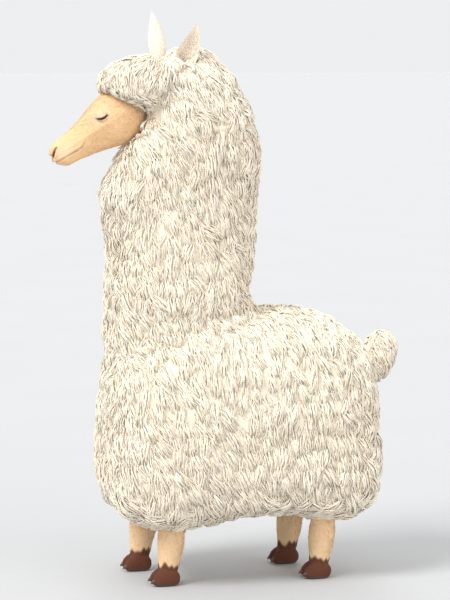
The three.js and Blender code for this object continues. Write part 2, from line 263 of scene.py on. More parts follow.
def toe(side):
    """One toe: a long pad, flat below, deepest at the heel and drawn down to its tip."""
    rx, ry, rz = TOE["radii"]
    splay = math.radians(side * TOE["splay"])

    def place(share, turn):
        back, ring = squared(np.pi * (1 - share), TOE["square"][1])
        across, up = squared(turn, TOE["square"][0])
        x = rx * ring * across
        y = ry * back
        tip = np.clip(-back, 0, 1) ** 2
        z = TOE["height"] * (1 - TOE["droop"] * tip) + rz * ring * up * (1 - TOE["taper"] * tip)
        z = np.maximum(z, TOE["sole"])
        turned_x = x * math.cos(splay) - y * math.sin(splay)
        turned_y = x * math.sin(splay) + y * math.cos(splay)
        return turned_x + side * TOE["spread"], turned_y - TOE["ahead"], z

    return closed_ball("toe", 36, 33, place)


def leg_flesh(back_of_foot):
    return melted("leg", [shank(back_of_foot), toe(-1), toe(1)], LEG_GRAIN, LEG_ROUNDS)


def moved_copy(piece, offset):
    made = piece.copy()
    made.data = piece.data.copy()
    made.data.transform(Matrix.Translation(offset))
    bpy.context.scene.collection.objects.link(made)
    return made


leg_models = {"front": leg_flesh(FRONT_SHANK_BACK), "hind": leg_flesh(HIND_SHANK_BACK)}
legs = []
for leg_name, foot_y in LEG_FEET.items():
    end, hand = leg_name.split("_")
    leg_x = LEG_X if hand == "left" else -LEG_X
    legs.append(moved_copy(leg_models[end], Vector((leg_x, foot_y, 0))))
for model in leg_models.values():
    bpy.data.objects.remove(model)

# ---------------------------------------------------------------- head
# A long narrow face with a blunt muzzle, split upper lip, slit nostrils, deep jaw and full orbits.
# It is shaped level, with the nose at the origin and the skull along +Y, then dipped and carried.
HEAD_LENGTH = 0.335
HEAD_SQUARE = (2.3, 4.6)
HEAD_DIP = math.radians(33)
NOSE_PLACE = Vector((0, -0.563, 1.342))
FACE_STATIONS = (0, 0.015, 0.035, 0.065, 0.100, 0.145, 0.195, 0.240, 0.290, 0.335)
FACE_TOP = (0.0300, 0.0365, 0.0395, 0.0410, 0.0455, 0.0555, 0.0700, 0.0780, 0.0740, 0.0520)
FACE_LOW = (0.0370, 0.0460, 0.0505, 0.0535, 0.0590, 0.0690, 0.0840, 0.0940, 0.0870, 0.0560)
FACE_HALF_WIDTH = (0.0262, 0.0335, 0.0350, 0.0343, 0.0380, 0.0472, 0.0585, 0.0612, 0.0560, 0.0380)
TOP_PINCH = (0.04, 0.08, 0.16, 0.27, 0.30, 0.22, 0.10, 0.10, 0.14, 0.20)
LOW_PINCH = (0.10, 0.12, 0.20, 0.26, 0.26, 0.26, 0.30, 0.34, 0.34, 0.30)
MOUTH_HEIGHT, MOUTH_CORNER, MOUTH_SMILE = -0.0175, 0.112, 0.011
EYE = {"x": 0.0460, "y": 0.195, "z": 0.030, "radius": 0.0178}
LID_THICKNESS, LID_BLEND = 0.0021, 0.004
LID_FOLD = {"at": 0.98, "depth": 0.0016, "width": 0.0016}  # at a share of the lid's radius
LID_BAG = {"at": 1.22, "depth": 0.0010, "width": 0.0020}
SOCKET_ROOM = 0.0002  # between the eyeball and its socket
NOSTRIL = ((0.0130, 0.0010, 0.0010), (0.0270, 0.0190, 0.0215))  # from its lower end to its upper one
NOSTRIL_WAY_IN = (-0.55, 0.80, -0.10)
SLIT = {  # the opening between the lids: half its length and height, how far it lies under the eye's
    # middle and sags, and how it is tilted, in degrees
    "half": 0.0165, "open": 0.0042, "drop": 0.0040, "sag": 0.0046, "tilt": -12,
}
FACE_LINES = {  # grooves and ridges: how far each stands out, how far off its line, and its width
    "nostril": (-0.0105, 0, 0.0028),
    "nostril wing": (0.0024, 0.0080, 0.0042),
    "lip split": (-0.0062, 0, 0.0020),
    "lip halves": (0.0026, 0.0085, 0.0060),
    "mouth": (-0.0046, 0, 0.0019),
    "upper lip": (0.0022, 0.0065, 0.0050),
    "lower lip": (0.0016, -0.0062, 0.0045),
}
FACE_SPOTS = (  # how far each swelling or hollow stands out, its centre and its radii
    (-0.0018, (0.032, MOUTH_CORNER + 0.004, -0.014), (0.02, 0.006, 0.010)),  # corner of the mouth
    (0.0030, (0.0, 0.030, -0.046), (0.022, 0.016, 0.012)),  # chin
    (-0.0022, (0.034, 0.080, 0.006), (0.020, 0.028, 0.014)),  # hollow of the muzzle
    (-0.0040, (0.042, 0.152, 0.024), (0.020, 0.020, 0.013)),  # hollow before the eye
    (0.0042, (0.048, 0.190, 0.054), (0.018, 0.026, 0.010)),  # brow
    (0.0030, (0.050, 0.180, 0.004), (0.020, 0.030, 0.009)),  # cheekbone
    (0.0040, (0.046, 0.222, -0.040), (0.020, 0.036, 0.032)),  # cheek
    (-0.0030, (0.040, 0.150, -0.034), (0.020, 0.024, 0.016)),  # hollow of the jaw
    (-0.0020, (0.0, 0.110, 0.050), (0.012, 0.050, 0.02)),  # dip of the bridge
)


def spot(p, centre, radii):
    """How strongly each point lies in an oval spot, 1 at its centre. Both sides of the head match."""
    x, y, z = np.abs(p[:, 0]), p[:, 1], p[:, 2]
    d = ((x - centre[0]) / radii[0]) ** 2 + ((y - centre[1]) / radii[1]) ** 2
    return np.exp(-d - ((z - centre[2]) / radii[2]) ** 2)


def mouth_line(y):
    """Height of the lips' meeting line: nearly level, with the corner turned up."""
    corner = np.clip((y - 0.7 * MOUTH_CORNER) / (0.3 * MOUTH_CORNER), 0, 1.4)
    return MOUTH_HEIGHT - 0.05 * y + MOUTH_SMILE * corner ** 2


def from_nostril(p, inward=0.0):
    """How far along the nostril's slit each point is, as a share, and how far off it."""
    start, end = (np.array(point) + inward * np.array(NOSTRIL_WAY_IN) for point in NOSTRIL)
    squeeze = np.array((0.5, 1, 1))
    gap = (np.stack([np.abs(p[:, 0]), p[:, 1], p[:, 2]], axis=1) - start) * squeeze
    slit = (end - start) * squeeze
    along = gap @ slit / (slit @ slit)
    return along, np.linalg.norm(gap - along[:, None] * slit, axis=1)


def face_relief(p):
    """How far the skin stands out from the plain face at each point."""
    x, y, z = np.abs(p[:, 0]), p[:, 1], p[:, 2]

    def along_line(name, within, off):
        out, beside, width = FACE_LINES[name]
        return out * within * gaussian(off - beside, width)

    # nostril: a slanted slit between two raised wings
    along, off = from_nostril(p)
    within = np.clip((0.62 - np.abs(along - 0.5)) / 0.22, 0, 1)
    out = along_line("nostril", within, off) + along_line("nostril wing", within, off)
    # split upper lip, from the mouth up to between the nostrils
    within = np.clip((0.030 - y) / 0.020, 0, 1) * np.clip((0.006 - z) / 0.010, 0, 1)
    within = within * np.clip((z - MOUTH_HEIGHT) / 0.004, 0, 1)
    out += along_line("lip split", within, x) + along_line("lip halves", within, x)
    # mouth: a fine groove between two full lips
    from_mouth = z - mouth_line(y)
    within = np.clip((MOUTH_CORNER - y) / 0.012, 0, 1)
    for name in ("mouth", "upper lip", "lower lip"):
        out += along_line(name, within, from_mouth)
    for swell, centre, radii in FACE_SPOTS:
        out += swell * spot(p, centre, radii)
    return out


def lid_swell(p):
    """How far each point moves sideways so that the lids wrap the eyeball, with a fold above and below."""
    radius = EYE["radius"] + LID_THICKNESS
    dy, dz = p[:, 1] - EYE["y"], p[:, 2] - EYE["z"]
    r = np.hypot(dy, dz)
    dome = EYE["x"] + np.sqrt(np.maximum(radius ** 2 - np.minimum(r, radius) ** 2, 0))
    gap = dome - np.abs(p[:, 0])
    lift = LID_BLEND * np.log1p(np.exp(np.clip(gap / LID_BLEND, -30, 30)))
    near = np.clip((radius * 1.30 - r) / (radius * 0.45), 0, 1)
    lift = lift * near * near * (3 - 2 * near)
    fold = gaussian(r - radius * LID_FOLD["at"], LID_FOLD["width"]) * np.clip(np.abs(dz) / 0.010, 0, 1)
    bag = gaussian(r - radius * LID_BAG["at"], LID_BAG["width"]) * np.clip(-dz / 0.014, 0, 1)
    return lift - LID_FOLD["depth"] * fold - LID_BAG["depth"] * bag


def carried(points):
    """From the head's level pose to where the head is held."""
    c, s = math.cos(HEAD_DIP), math.sin(HEAD_DIP)
    p = np.asarray(points, float)
    turned = np.stack([p[..., 0], p[..., 1] * c - p[..., 2] * s, p[..., 1] * s + p[..., 2] * c], axis=-1)
    return turned + np.array(NOSE_PLACE)


def read_points(piece, key="co"):
    """The places, or with key="normal" the outward directions, of all the points of a piece."""
    values = np.empty(len(piece.data.vertices) * 3)
    piece.data.vertices.foreach_get(key, values)
    return values.reshape(-1, 3)


def move_points(piece, points):
    piece.data.vertices.foreach_set("co", points.ravel())
    piece.data.update()


def head_flesh():
    top = smooth_track(FACE_STATIONS, FACE_TOP)
    low = smooth_track(FACE_STATIONS, FACE_LOW)
    width = smooth_track(FACE_STATIONS, FACE_HALF_WIDTH)
    top_pinch = smooth_track(FACE_STATIONS, TOP_PINCH)
    low_pinch = smooth_track(FACE_STATIONS, LOW_PINCH)

    def place(share, turn):
        back, ring = squared(np.pi * (1 - share), HEAD_SQUARE[1])
        y = HEAD_LENGTH / 2 * (1 + back)
        side, up = squared(turn, HEAD_SQUARE[0])
        reach = np.where(up > 0, top(y), low(y))
        pinch = top_pinch(y) * np.maximum(0, up) + low_pinch(y) * np.maximum(0, -up)
        return width(y) * (1 - pinch) * ring * side, y, reach * ring * up

    # rings crowd where the face has its detail and spread over the skull
    lengths = np.concatenate([np.linspace(0, 0.012, 14)[:-1], np.linspace(0.012, 0.225, 128)[:-1],
                              np.linspace(0.225, HEAD_LENGTH, 26)])
    fine = np.linspace(0, 1, 4001)
    back, _ = squared(np.pi * (1 - fine), HEAD_SQUARE[1])
    shares = np.interp(lengths, HEAD_LENGTH / 2 * (1 + back), fine)
    shares[0], shares[-1] = 0, 1
    piece = closed_ball("head", 136, shares, place)
    p = read_points(piece)
    move_points(piece, p + read_points(piece, "normal") * face_relief(p)[:, None])
    p = read_points(piece)
    p[:, 0] += np.sign(p[:, 0]) * lid_swell(p)
    move_points(piece, carried(p))
    return piece


def eye_centre(side):
    return Vector(carried((side * EYE["x"], EYE["y"], EYE["z"])))


def cut_away(piece, cutters):
    """Cuts closed cutters out of a closed piece, or joins them to it, as the operation beside each says."""
    for cutter, operation in cutters:
        cut = piece.modifiers.new("cut", "BOOLEAN")
        cut.solver = "MANIFOLD"
        cut.operation = operation
        cut.object = cutter
    apply_modifiers(piece)
    for cutter, _ in cutters:
        bpy.data.objects.remove(cutter)
    return piece


def on_slit(along, raised):
    """Y and Z of places along the slit between the lids, raised over its sagging middle line."""
    tilt = math.radians(SLIT["tilt"])
    a = SLIT["half"] * along
    b = raised - SLIT["sag"] * (1 - along ** 2) - SLIT["drop"]
    y = EYE["y"] + a * math.cos(tilt) - b * math.sin(tilt)
    return y, EYE["z"] + a * math.sin(tilt) + b * math.cos(tilt)


def eye_slit(side):
    """The opening between the drowsy lids: an oval, sagging in the middle, sunk into the eyeball."""
    def place(share, turn):
        along, ring = squared(np.pi * (1 - share), 2)
        x = side * (EYE["x"] + 0.013 + 0.011 * ring * np.cos(turn))
        y, z = on_slit(along, SLIT["open"] * ring * np.sin(turn))
        return tuple(carried(np.stack([x, y, z], axis=-1)).T)

    return closed_ball("slit", 24, 25, place)


def eye_socket(side):
    """The room for the eyeball."""
    radius = EYE["radius"] + SOCKET_ROOM
    centre = eye_centre(side)

    def place(share, turn):
        back, ring = squared(np.pi * (1 - share), 2)
        return (centre.x + radius * ring * np.cos(turn), centre.y + radius * back,
                centre.z + radius * ring * np.sin(turn))

    return closed_ball("socket", 40, 25, place)


head = cut_away(head_flesh(), [(eye_slit(1), "DIFFERENCE"), (eye_slit(-1), "DIFFERENCE"),
                               (eye_socket(1), "DIFFERENCE"), (eye_socket(-1), "DIFFERENCE")])

# ---------------------------------------------------------------- ears
# Two tall leaves of gristle and skin, cupped and open to the side, with tips that bend inward.
# The left ear leans back and the right one stands.
EAR_LENGTH = 0.176
EAR_RISE = (0, 0.15, 0.40, 0.70, 0.90, 1)
EAR_HALF_WIDTH = (0.020, 0.028, 0.0345, 0.0265, 0.0135, 0.0045)
EAR_CUP = (0.022, 0.0235, 0.0215, 0.014, 0.008, 0.004)
EAR_HALF_THICK = (0.0080, 0.0055, 0.0036, 0.0028, 0.0024, 0.0020)
EAR_CURL, EAR_ROLL = 0.026, 0.004  # how far the tip bends inward, and the edges roll forward
EAR_SQUARE = 3.0
EARS = {  # the root, then how far the ear leans back and out and its hollow faces outward, in degrees
    "left": {"side": 1, "root": (0.054, -0.180, 1.594), "back": 28, "out": 15, "face": 62},
    "right": {"side": -1, "root": (-0.046, -0.215, 1.622), "back": 3, "out": 12, "face": 62},
}


def ear_lean(side, back, out):
    return Euler((math.radians(-back), math.radians(side * out), 0)).to_matrix()


def ear_flesh(side, root, back, out, face):
    width = smooth_track(EAR_RISE, EAR_HALF_WIDTH)
    cup = smooth_track(EAR_RISE, EAR_CUP)
    thick = smooth_track(EAR_RISE, EAR_HALF_THICK)
    turn_out = Matrix.Rotation(math.radians(side * face), 4, "Z")
    held = np.array(Matrix.Translation(Vector(root)) @ ear_lean(side, back, out).to_4x4() @ turn_out)

    def place(share, turn):
        rise, ring = squared(np.pi * (1 - share), EAR_SQUARE)
        up = (1 + rise) / 2
        across = np.cos(turn) * ring
        bow = cup(up) * ring * (1 - np.cos(turn) ** 2)
        rolled = EAR_ROLL * np.abs(np.cos(turn)) ** 6 * ring * np.sin(np.pi * up)
        p = np.stack([width(up) * across - side * EAR_CURL * up ** 3,
                      bow + thick(up) * ring * np.sin(turn) - rolled,
                      EAR_LENGTH * up, np.ones_like(up)])
        return tuple((held @ p)[:3])

    return closed_ball("ear", 40, 49, place)


ears = [ear_flesh(**ear) for ear in EARS.values()]

# ---------------------------------------------------------------- one skin
# Body, legs, head and ears become one closed skin, with no seam where they meet. It is cream under the
# fleece and on the ears, tan and short-haired on the face and shanks, and dark brown on the feet.
UNWRAP = "OFBake"
CREAM = (0.97, 0.90, 0.78)
FACE_TAN = (0.97, 0.665, 0.375)
SHANK_TAN = (0.90, 0.64, 0.39)
FOOT_BROWN = (0.130, 0.043, 0.022)
LEATHER_BROWN_AND_CREASE_SHADE = (0.20, 0.090, 0.055)  # lips and lid edges, and the painted shade in the muzzle's grooves: the nostrils' slits, the split lip and the mouth line
LASH_DARK_AND_NOSTRIL_SHADE = (0.030, 0.016, 0.010)  # lashes, and the painted shade down in the nostrils
PAD_GREY = (0.10, 0.075, 0.062)
EAR_PINK = (0.92, 0.72, 0.60)
FACE_BACK = 0.315  # along the head, where the tan face ends under the wool
HEAD_ROOM = {"above": 1.28, "ahead": -0.24, "low": -0.12, "high": 0.092}  # nothing else lies in here
NOSE_TIP = (0.0, 0.0, 0.002)
FACE_SHADES = (  # paler and deeper places of the face: colour, strength, centre and radii
    (CREAM, 0.30, (0.034, 0.040, -0.004), (0.03, 0.030, 0.018)),  # above the lips
    (CREAM, 0.28, (0.055, EYE["y"], EYE["z"]), (0.03, 0.034, 0.026)),  # round the eye
    (LEATHER_BROWN_AND_CREASE_SHADE, 0.20, (0.0, 0.13, 0.055), (0.018, 0.10, 0.03)),  # along the bridge
    (LEATHER_BROWN_AND_CREASE_SHADE, 0.30, NOSE_TIP, (0.022, 0.014, 0.020)),
)
SHANK_TOP, FOOT_TOP, PAD_TOP = 0.245, 0.068, 0.007
SKIN_NODES = ("trunk", "neck", "topknot", "tail", "head", "jaw", *(f"ear_{hand}" for hand in EARS),
              *(f"leg_{name}" for name in LEG_FEET), *(f"foot_{name}" for name in LEG_FEET))


def joined(name, first, others):
    """One closed surface from closed pieces that run into each other."""
    first.name = name
    return cut_away(first, [(other, "UNION") for other in others])


def unwrap(piece):
    """Lays the piece's own surface out flat in its UV map."""
    piece.data.uv_layers.new(name=UNWRAP)
    bpy.context.view_layer.objects.active = piece
    bpy.ops.object.select_all(action="DESELECT")
    piece.select_set(True)
    bpy.ops.object.mode_set(mode="EDIT")
    bpy.ops.mesh.select_all(action="SELECT")
    bpy.ops.uv.smart_project(angle_limit=math.radians(66), island_margin=0.002)
    bpy.ops.object.mode_set(mode="OBJECT")


def ease(x, low, high):
    """0 below low, 1 above high, and smooth between."""
    t = np.clip((x - low) / (high - low), 0, 1)
    return t * t * (3 - 2 * t)


def unit(vectors):
    return vectors / np.maximum(np.linalg.norm(vectors, axis=-1, keepdims=True), 1e-12)


def levelled(points):
    """From where the head is held to its level pose: the other way round from carried."""
    c, s = math.cos(HEAD_DIP), math.sin(HEAD_DIP)
    p = np.asarray(points, float) - np.array(NOSE_PLACE)
    return np.stack([p[..., 0], p[..., 1] * c + p[..., 2] * s, p[..., 2] * c - p[..., 1] * s], axis=-1)


def painted(under, colour, share):
    """A colour laid over others, by a share for each place."""
    share = np.clip(share, 0, 1)[:, None]
    return under * (1 - share) + np.array(colour) * share


def head_share(p):
    """1 on the bare head and muzzle, and 0 on the rest of the body."""
    level = levelled(p)
    on = (p[:, 2] > HEAD_ROOM["above"]) & (p[:, 1] < HEAD_ROOM["ahead"]) & (level[:, 1] < HEAD_LENGTH)
    return (on & (level[:, 2] > HEAD_ROOM["low"]) & (level[:, 2] < HEAD_ROOM["high"])).astype(float)


def lid_edge(p):
    """1 along the edges of the nearly closed lids."""
    level = levelled(p)
    tilt = math.radians(SLIT["tilt"])
    dy, dz = level[:, 1] - EYE["y"], level[:, 2] - EYE["z"]
    along = (dy * math.cos(tilt) + dz * math.sin(tilt)) / SLIT["half"]
    across = dz * math.cos(tilt) - dy * math.sin(tilt)
    off = across + SLIT["drop"] + SLIT["sag"] * (1 - along ** 2)
    return gaussian(off, SLIT["open"] * 0.85) * ease(1.35 - np.abs(along), 0, 0.3)


def inner_ear(p, outward):
    """1 in the hollow of each ear."""
    share = np.zeros(len(p))
    for ear in EARS.values():
        way_in = Matrix.Rotation(math.radians(ear["side"] * ear["face"]), 3, "Z") @ Vector((0, -1, 0))
        near = (p[:, 2] > ear["root"][2] + 0.012) & (p[:, 0] * ear["side"] > 0)
        share = np.where(near, ease(outward @ np.array(way_in), 0.10, 0.65), share)
    return share


def in_nostril(level):
    """1 down in the nostrils' slits."""
    share = np.zeros(len(level))
    for inward in (0.001, 0.004, 0.007, 0.010):
        along, off = from_nostril(level, inward)
        share = np.maximum(share, gaussian(off, 0.0030) * (np.abs(along - 0.5) < 0.62))
    return share


def marking(p, outward):
    """The colour of skin and hair at each place of the body, with painted shade darkening the grooves of the
    muzzle and the depths of the nostrils.
    """
    level = levelled(p)
    on_head = head_share(p)
    colour = np.tile(CREAM, (len(p), 1))
    colour = painted(colour, EAR_PINK, 0.28 * inner_ear(p, outward))
    face = on_head * (1 - ease(level[:, 1], FACE_BACK - 0.02, FACE_BACK + 0.02))
    colour = painted(colour, FACE_TAN, face)
    for shade, strength, centre, radii in FACE_SHADES:
        colour = painted(colour, shade, strength * face * spot(level, centre, radii))
    # painted shade: the muzzle's grooves and hollows are darkened with the leather brown by how deep they
    # are, partly the real dark skin of the lips and partly the shade down in them
    creases = ease(-face_relief(level), 0.0016, 0.0060) * (level[:, 1] < MOUTH_CORNER)
    colour = painted(colour, LEATHER_BROWN_AND_CREASE_SHADE, 0.85 * face * creases)
    # painted shade: the nostrils' slits are painted near black for the shade deep inside them
    colour = painted(colour, LASH_DARK_AND_NOSTRIL_SHADE, 0.90 * face * in_nostril(level))
    colour = painted(colour, LEATHER_BROWN_AND_CREASE_SHADE, 0.95 * face * lid_edge(p))
    # the edges of the tan and the brown are ragged round the leg
    z = p[:, 2] + 0.006 * np.sin(170 * p[:, 0] + 90 * p[:, 1]) + 0.004 * np.sin(310 * p[:, 1] - 140 * p[:, 0])
    colour = painted(colour, SHANK_TAN, 1 - ease(z, SHANK_TOP - 0.03, SHANK_TOP + 0.03))
    colour = painted(colour, FOOT_BROWN, 1 - ease(z, FOOT_TOP - 0.006, FOOT_TOP + 0.006))
    return painted(colour, PAD_GREY, 1 - ease(p[:, 2], PAD_TOP - 0.002, PAD_TOP + 0.002))


def leather(p, outward):
    """How bare and leathery each place is: nostrils, lips, lid edges and pads."""
    level = levelled(p)
    creases = ease(-face_relief(level), 0.001, 0.005) * (level[:, 1] < MOUTH_CORNER)
    bare = np.maximum(creases, spot(level, NOSE_TIP, (0.020, 0.012, 0.018)))
    bare = head_share(p) * np.maximum(bare, np.maximum(lid_edge(p), in_nostril(level)))
    return np.clip(np.maximum(bare, 1 - ease(p[:, 2], PAD_TOP - 0.002, PAD_TOP + 0.004)), 0, 1)


def hair_grain(p):
    """Coordinates whose first one runs the way the short hair lies, so that a pattern can be drawn out."""
    level = levelled(p)
    head_way = np.stack([level[:, 1], level[:, 0], level[:, 2]], axis=1)
    body_way = np.stack([p[:, 2], p[:, 0], p[:, 1]], axis=1)
    return np.where(head_share(p)[:, None] > 0, head_way, body_way)


def write_attribute(piece, name, kind, values):
    """Keeps a value for each point of a piece under a name. Colours get an alpha of 1."""
    if kind == "FLOAT_COLOR":
        values = np.concatenate([values, np.ones((len(values), 1))], axis=1)
        piece.data.color_attributes.new(name, kind, "POINT").data.foreach_set("color", values.ravel())
    elif kind == "FLOAT_VECTOR":
        piece.data.attributes.new(name, kind, "POINT").data.foreach_set("vector", values.ravel())
    else:
        piece.data.attributes.new(name, kind, "POINT").data.foreach_set("value", values)


def connect(tree, node, inputs):
    """Sets a node's inputs, each to a value or to the output of another node."""
    for key, value in inputs.items():
        if isinstance(value, bpy.types.NodeSocket):
            tree.links.new(value, node.inputs[key])
        else:
            node.inputs[key].default_value = value


def add(tree, kind, inputs=None, output=0, **settings):
    """Adds a node to a tree and gives one of its outputs."""
    node = tree.nodes.new(kind)
    for key, value in settings.items():
        setattr(node, key, value)
    connect(tree, node, inputs or {})
    return node.outputs[output] if node.outputs else None


def new_finish(name):
    """A material, its node tree, its shader, and the place on the piece for its patterns."""
    made = bpy.data.materials.new(name)
    made.use_nodes = True
    tree = made.node_tree
    return made, tree, tree.nodes["Principled BSDF"], add(tree, "ShaderNodeTexCoord", output="Object")


def attribute(tree, name, output):
    return add(tree, "ShaderNodeAttribute", output=output, attribute_name=name)


def noise(tree, place, scale=1.0, detail=2.0):
    return add(tree, "ShaderNodeTexNoise", {"Vector": place, "Scale": scale, "Detail": detail})


def drawn_out(tree, place, scale):
    """The place scaled along each axis, so that a pattern on it is drawn out along the smallest."""
    return add(tree, "ShaderNodeMapping", {"Vector": place, "Scale": scale})


def arithmetic(tree, operation, first, second):
    return add(tree, "ShaderNodeMath", {0: first, 1: second}, operation=operation)


def vectors(tree, operation, first, second=(0, 0, 0)):
    """Arithmetic on vectors. It gives a vector, except that LENGTH gives a value."""
    output = "Value" if operation == "LENGTH" else "Vector"
    return add(tree, "ShaderNodeVectorMath", {0: first, 1: second}, output, operation=operation)


def mixed(tree, share, first, second, blend="MIX"):
    """A mix of two colours, each a value or an output of another node."""
    first, second = (c if isinstance(c, bpy.types.NodeSocket) else (*c, 1) for c in (first, second))
    return add(tree, "ShaderNodeMix", {0: share, 6: first, 7: second}, 2, data_type="RGBA", blend_type=blend)


def ranged(tree, value, low, high, to_low, to_high):
    """A value carried from one range to another, and held at its ends."""
    return add(tree, "ShaderNodeMapRange", {"Value": value, "From Min": low, "From Max": high,
                                            "To Min": to_low, "To Max": to_high})


def bump(tree, height, strength, distance, over=None):
    """A relief in the shading, on top of another one."""
    inputs = {"Height": height, "Strength": strength, "Distance": distance}
    return add(tree, "ShaderNodeBump", {**inputs, "Normal": over} if over else inputs)


def hide_finish():
    """Short flat hair over skin: fine streaks along the lie, mottled colour, and smoother leather."""
    made, tree, shader, place = new_finish("hide")
    coat = attribute(tree, "Coat", "Color")
    bare = attribute(tree, "Leather", "Fac")
    grain = attribute(tree, "Grain", "Vector")
    hairs = noise(tree, drawn_out(tree, grain, (90, 900, 900)), detail=3.0)
    clumps = noise(tree, drawn_out(tree, grain, (38, 190, 190)))
    mottle = noise(tree, place, 26.0, 3.0)
    pores = add(tree, "ShaderNodeTexVoronoi", {"Vector": place, "Scale": 900.0}, "Distance")
    deeper = mixed(tree, 1.0, coat, (0.80, 0.72, 0.64), "MULTIPLY")
    streaked = mixed(tree, ranged(tree, hairs, 0.35, 0.70, 0.55, 0.0), coat, deeper)
    furry = arithmetic(tree, "SUBTRACT", 1.0, bare)
    relief = bump(tree, clumps, furry, 0.0016, bump(tree, hairs, furry, 0.0009))
    connect(tree, shader, {
        "Base Color": mixed(tree, ranged(tree, mottle, 0.40, 0.75, 0.0, 0.35), streaked, deeper),
        "Normal": bump(tree, pores, bare, 0.0003, relief),
        "Roughness": ranged(tree, bare, 0.0, 1.0, 0.80, 0.48),
        "Sheen Weight": 0.06, "Sheen Roughness": 0.45, "Specular IOR Level": 0.30})
    return made


skin = joined("skin", body, [head, *ears, *legs])
unwrap(skin)
skin.data.polygons.foreach_set("use_smooth", [True] * len(skin.data.polygons))
skin_points, skin_outward = read_points(skin), read_points(skin, "normal")
write_attribute(skin, "Coat", "FLOAT_COLOR", marking(skin_points, skin_outward))
write_attribute(skin, "Leather", "FLOAT", leather(skin_points, skin_outward))
write_attribute(skin, "Grain", "FLOAT_VECTOR", hair_grain(skin_points))
hide = hide_finish()
skin.data.materials.clear()
skin.data.materials.append(hide)
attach(skin, "root")
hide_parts(*SKIN_NODES)

# ---------------------------------------------------------------- eyes
# Wet dark balls, set deep between nearly closed lids, with a brown iris and a level slot of a pupil.
IRIS_RADIUS = 0.0098
PUPIL = (0.0066, 0.0026)  # half length and half height
CORNEA_RISE = 0.0009
IRIS_BROWN = ((0.050, 0.022, 0.010), (0.120, 0.058, 0.024))
IRIS_RIM, DULL_WHITE, PUPIL_BLACK = (0.018, 0.010, 0.007), (0.16, 0.10, 0.07), (0.004, 0.004, 0.005)


def eyeball(hand, side):
    centre = eye_centre(side)
    radius = EYE["radius"] - 0.0001

    def place(share, turn):
        out, ring = np.cos(np.pi * share), np.sin(np.pi * share)
        cornea = CORNEA_RISE * gaussian(1 - out, 0.10)
        x = centre.x + side * (radius - CORNEA_RISE + cornea) * out
        return x, centre.y + radius * ring * np.cos(turn), centre.z + radius * ring * np.sin(turn)

    return closed_ball(f"eyeball_{hand}", 48, 41, place)


def eye_finish(side):
    """A dark iris with fine rays, ringed and set in a dull white, with the slot of the pupil across it."""
    made, tree, shader, place = new_finish(f"wet eye {side}")
    face_on = vectors(tree, "MULTIPLY", vectors(tree, "SUBTRACT", place, eye_centre(side)), (0, 1, 1))
    reach = vectors(tree, "LENGTH", face_on)
    slot = vectors(tree, "MULTIPLY", face_on, (0, 1 / PUPIL[0], 1 / PUPIL[1]))
    slot_reach = vectors(tree, "LENGTH", slot)
    rays = noise(tree, place, 900.0)
    iris = mixed(tree, ranged(tree, rays, 0.35, 0.65, 0, 1), IRIS_BROWN[0], IRIS_BROWN[1])
    rim = mixed(tree, ranged(tree, reach, IRIS_RADIUS * 0.8, IRIS_RADIUS, 0, 1), iris, IRIS_RIM)
    white = mixed(tree, ranged(tree, reach, IRIS_RADIUS, IRIS_RADIUS * 1.25, 0, 1), rim, DULL_WHITE)
    connect(tree, shader, {
        "Base Color": mixed(tree, ranged(tree, slot_reach, 0.9, 1.05, 1, 0), white, PUPIL_BLACK),
        "Roughness": 0.08, "Coat Weight": 1.0, "Coat Roughness": 0.02})
    return made


for hand, side in (("left", 1), ("right", -1)):
    eye = eyeball(hand, side)
    eye.data.materials.append(eye_finish(side))
    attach(eye, "root")
    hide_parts(f"eye_{hand}")

# ---------------------------------------------------------------- lashes
# Long dark hairs in a row along the edge of each upper lid, drooping forward and down over the slit.
# A guide runs along the lid, and a bent hair stands on it at every step, turned the guide's way.
LASHES = 34
LASH_LENGTH, LASH_WIDTH = 0.0175, 0.00062
HAIR_ASTRAY = 0.14  # how far a hair may aim off its way
SHORTEST_HAIR = 0.72  # as a share of the longest
GUIDE_STEPS = 16


def bent_hair(name, bend, heights, girths, thickness):
    """One closed hair of three sides and unit size, rising along Z and bending towards -Y."""
    points = []
    for height, girth in zip(heights, girths):
        for corner in range(3):
            angle = 2 * math.pi * corner / 3 + math.pi / 2
            points.append((girth * math.cos(angle), thickness * girth * math.sin(angle) - bend * height ** 2,
                           height))
    tip = len(points)
    points.append((0, -bend, 1))
    faces = [(0, 2, 1)]
    for ring in range(0, tip - 3, 3):
        for k in range(3):
            faces.append((ring + k, ring + (k + 1) % 3, ring + 3 + (k + 1) % 3, ring + 3 + k))
    faces += [(tip - 3 + k, tip - 3 + (k + 1) % 3, tip) for k in range(3)]
    hair = mesh_piece(name, points, faces)
    patch = hair.data.uv_layers.new(name="Strand")
    for loop in hair.data.loops:
        corner, ring = loop.vertex_index % 3, loop.vertex_index // 3
        at_tip = loop.vertex_index == tip
        patch.data[loop.index].uv = (0.5, 1) if at_tip else (0.15 + 0.35 * corner, heights[ring])
    return hair


def new_tree(name, sockets):
    """A Geometry Nodes tree with its named inputs, and their sockets inside it."""
    tree = bpy.data.node_groups.new(name, "GeometryNodeTree")
    for label, kind in sockets:
        tree.interface.new_socket(label, in_out="INPUT", socket_type=f"NodeSocket{kind}")
    tree.interface.new_socket("Hairs", in_out="OUTPUT", socket_type="NodeSocketGeometry")
    return tree, tree.nodes.new("NodeGroupInput").outputs


def named(tree, name, kind):
    return add(tree, "GeometryNodeInputNamedAttribute", {"Name": name}, data_type=kind)


